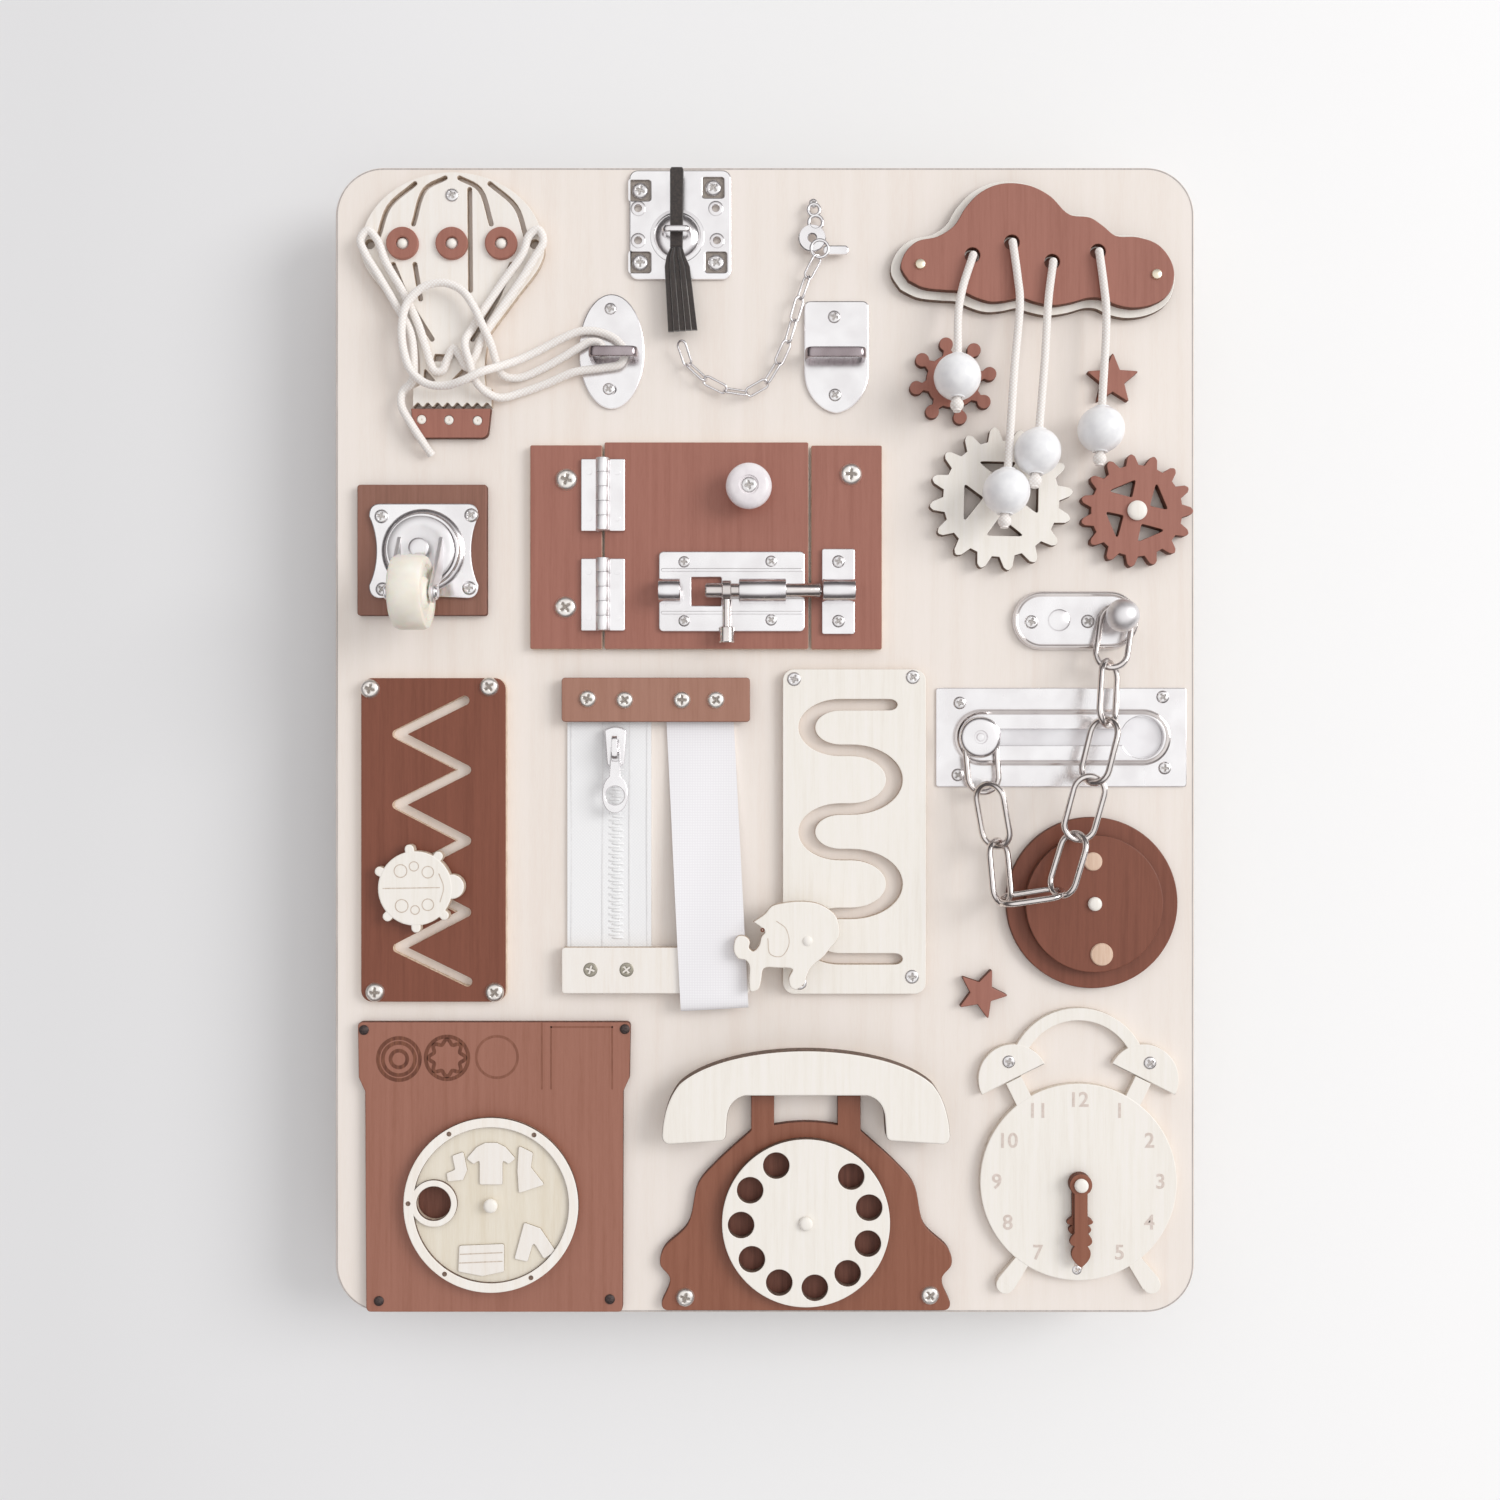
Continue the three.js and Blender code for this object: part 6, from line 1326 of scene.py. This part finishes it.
# Telephone: body, dial with finger holes and handset
def telephone():
    up = [(50, 3), (47.2, 11), (50.6, 16), (49.4, 21.5), (41, 30), (37.4, 44), (31.6, 51), (19, 62.5)]
    right = [(48, 0)] + bow((48, 0), (50.4, 0.4), (50, 3))[1:-1] + flowing_flat(up, 8)
    right += [(19, 74.6), (11, 74.6), (11, 64.4)]
    edge = right + bow((11, 64.4), (0, 66.6), (-11, 64.4))[1:-1] + mirrored(right)
    plate("phone_body_plate", [without_doubles(edge)], 0, PLY, DARK, node="phone_body", at=(14.2, -198))
    x, y = PLACES["dial"]
    finger, hole = 22.4, 4.5
    # A dark ring under the dial, seen only through its finger holes: painted shade in the holes
    scribe("dial_shade", [ring(x, y, finger, 96)], 10, PLY + LINE, painted_hole_shade, loop=True)
    holes = [ring(*polar(finger, 2.047 + 0.56 * i, x, y), hole, 40) for i in range(10)]
    plate("dial_plate", [ring(x, y, 29, 128), ring(x, y, BORE, 24)] + holes, UPPER, UPPER + PLY, SCORCHED,
          "dial", "phone_dial", 0.3)
    grip = ([(0, 0), (21, 0)] + bow((21, 0), (26.4, -1.4), (27, -7.4))[1:]
            + bow((27.4, -13.4), (27.6, -15.3), (29.6, -15.5))
            + bow((46.6, -16.6), (49.2, -16.6), (49.4, -13.6))
            + bow((49.4, -13.6), (48.8, -2.4), (43.4, 4))[1:]
            + bend((43.4, 4), (35, 11.6), (17, 15.4), (0, 15.4), 24)[1:])
    plate("handset_plate", [grip + mirrored(grip)[1:-1]], 3.3, 9.3, SCORCHED, "handset", "phone_handset",
          0.5, (14, -122))
    screws("phone_screw", [(-27.7, -193.3), (57.2, -192.6)], PLY, 3.3, 1.4, maple_cap)


telephone()


# Alarm clock: face, two bells on posts, handle, legs, numerals and two hands on one hub
NUMERAL_SIZE = 7.2
NUMERAL_RING = 28.4


def clock():
    x, y = PLACES["clock"]

    def pale(name, outlines, high, at=None, low=0.02, node=None, ease=0.25):
        plate(name, outlines, low, high, CLOCK, node=node, ease=ease, at=at)

    pale("clock_plate", [ring(x, y, 34.2, 144), ring(x, y, BORE, 24)], PLY, low=0, node="clock_face",
         ease=0.35)
    bell = [(-12.2, 0), (12.2, 0)] + arc(0, 0, 12.2, 4, 176, 36)
    for hand, name in ((1, "right"), (-1, "left")):
        above = (x + hand * 22.6, y + 35.6, -hand * 0.46)
        below = (x + hand * 25.6, y - 36, hand * 0.62)
        pale(f"clock_bell_{name}", [rounded(bell, 0.01, 1)], 2.92, above)
        pale(f"clock_bell_post_{name}", [[(-3, -9), (3, -9), (3, -0.2), (-3, -0.2)]], 2.92, above)
        pale(f"clock_leg_{name}", [[(-3.4, 0.6), (3.4, 0.6), (2.4, 13), (-2.4, 13)]], 2.9, below)
        pale(f"clock_toe_{name}", [ring(0, 0.4, 3.2, 32)], 2.86, below)
    pale("clock_handle", [arc(x, y + 36, 24.4, 10, 170, 48) + arc(x, y + 36, 20, 170, 10, 44)], 2.84)
    screws("clock_screw", [(84.6, -111.7), (133.6, -112.1)], PLY - 0.3, 2.4, 0.8)
    screw("clock_foot_screw", 108.2, -183.9, PLY - 0.2, 1.8, 0.5)
    for hour in range(1, 13):
        name = f"clock_numeral_{hour}"
        words = bpy.data.curves.new(name, "FONT")
        words.body = str(hour)
        words.size = NUMERAL_SIZE
        words.align_x, words.align_y = "CENTER", "CENTER"
        words.extrude = 0.05
        words.offset = 0.12
        shape = bpy.data.objects.new(name, words)
        mesh = bpy.data.meshes.new_from_object(shape)
        bpy.data.objects.remove(shape)
        spot = polar(NUMERAL_RING, math.radians(90 - 30 * hour), x, y)
        mesh.transform(FACE @ Matrix.Translation((*spot, PLY + 0.01)))
        mesh.materials.clear()
        finish_piece(name, mesh, numeral_line, "board")
    for name, reach, w, waist, z in (("hour", 19, 5.4, 0.6, UPPER),
                                     ("minute", 28.5, 4.6, 0.58, UPPER + 1.8)):
        collar = -reach * (waist + 0.16)
        right = ([(w / 2, -3)] + bow((w / 2, -reach * waist), (w * 1.2, -reach * (waist + 0.12)),
                                     (w / 2, collar))
                 + bow((w / 2, collar), (w * 1.15, -reach * 0.86), (0, -reach))[1:])
        edge = arc(0, 0, 3.9, -40, 220, 30) + mirrored(right)[::-1] + right[::-1][1:]
        plate(f"{name}_hand_plate", [edge, ring(0, 0, BORE, 24)], z, z + 1.5, DARK, name, f"{name}_hand",
              0.25, (x, y))


clock()

# Room: a pale wall behind the board, which only its front side shows, one large lamp and a world
WALL_GAP = 22.0
WALL_HALF = 1.6
LAMP_PLACE = (3.9, -3.0, 1.26)
LAMP_SIZE = 2.7
LAMP_POWER = 108


def wall():
    look, tree, shader, place = new_look("plaster_wall_with_painted_light", Roughness=0.9)
    # The wall's colour grows lighter towards the right: painted light from the lamp's side
    across = add_node(tree, "ShaderNodeSeparateXYZ", {"Vector": place})
    span = {"Value": across.outputs["X"], "From Min": -260 * MM, "From Max": 260 * MM}
    lamp_side_share = add_node(tree, "ShaderNodeMapRange", span).outputs["Result"]
    paint(tree, shader, lamp_side_share, [(0.0, "#e8e8e9"), (0.25, "#f0f0f1"), (0.6, "#f6f6f6"), (1.0, "#fdfdfd")])
    side = add_node(tree, "ShaderNodeNewGeometry")
    clear = add_node(tree, "ShaderNodeBsdfTransparent")
    mix = add_node(tree, "ShaderNodeMixShader", {
        0: side.outputs["Backfacing"], 1: shader.outputs["BSDF"], 2: clear.outputs["BSDF"]})
    tree.links.new(mix.outputs["Shader"], tree.nodes["Material Output"].inputs["Surface"])
    mesh = bpy.data.meshes.new("wall")
    corners = [(x * WALL_HALF, WALL_GAP * MM, z * WALL_HALF)
               for x, z in ((-1, -1), (1, -1), (1, 1), (-1, 1))]
    mesh.from_pydata(corners, [], [(0, 1, 2, 3)])
    mesh.materials.append(look)
    piece = bpy.data.objects.new("wall", mesh)
    bpy.context.collection.objects.link(piece)


def softbox():
    place = Vector(LAMP_PLACE)
    data = bpy.data.lights.new("softbox", "AREA")
    data.shape = "DISK"
    data.size = LAMP_SIZE
    data.energy = LAMP_POWER
    light = bpy.data.objects.new("softbox", data)
    light.location = place
    light.rotation_euler = (-place).to_track_quat("-Z", "Y").to_euler()
    bpy.context.collection.objects.link(light)


# The room is darker to the lower left, so that the board's shadow there stays deep. The plated
# pieces mirror a room that is bright in front of the board and dark beside it.
AMBIENT = 0.84
TOWARD_LAMP = (0.8, 0, 0.6)


def studio():
    world = bpy.data.worlds.new("studio")
    world.use_nodes = True
    bpy.context.scene.world = world
    tree = world.node_tree
    sky = tree.nodes["Background"]
    path = add_node(tree, "ShaderNodeLightPath").outputs
    place = add_node(tree, "ShaderNodeTexCoord").outputs["Generated"]

    def ramp_over(value, start, end, stops):
        span = add_node(tree, "ShaderNodeMapRange", {"Value": value, "From Min": start, "From Max": end})
        return colour_ramp(tree, span.outputs["Result"], stops)

    def mixed(factor, a, b):
        return add_node(tree, "ShaderNodeMix", {"Factor": factor, "A": a, "B": b},
                        data_type="RGBA").outputs["Result"]

    def larger(a, b):
        return add_node(tree, "ShaderNodeMath", {0: a, 1: b}, operation="MAXIMUM").outputs["Value"]

    lean = add_node(tree, "ShaderNodeVectorMath", {0: place, 1: TOWARD_LAMP}, operation="DOT_PRODUCT")
    split = add_node(tree, "ShaderNodeSeparateXYZ", {"Vector": place})
    tone = ramp_over(lean.outputs["Value"], -1.0, 1.0,
                     [(0.05, "#aaa5a6"), (0.4, "#f3f1f1"), (0.55, "#ffffff")])
    mirror = ramp_over(split.outputs["Y"], 1.0, -1.0,
                       [(0.5, "#3a3737"), (0.78, "#6b6667"), (0.87, "#e6e3e4"), (0.93, "#ffffff")])
    seen = larger(path["Is Camera Ray"], path["Is Transmission Ray"])
    shine = mixed(path["Is Glossy Ray"], tone, mirror)
    tree.links.new(mixed(seen, shine, (1, 1, 1, 1)), sky.inputs["Color"])
    level = {"Value": larger(seen, path["Is Glossy Ray"]), "To Min": AMBIENT, "To Max": 1.0}
    strength = add_node(tree, "ShaderNodeMapRange", level)
    tree.links.new(strength.outputs["Result"], sky.inputs["Strength"])


wall()
softbox()
studio()
bpy.context.scene.view_settings.view_transform = "Standard"
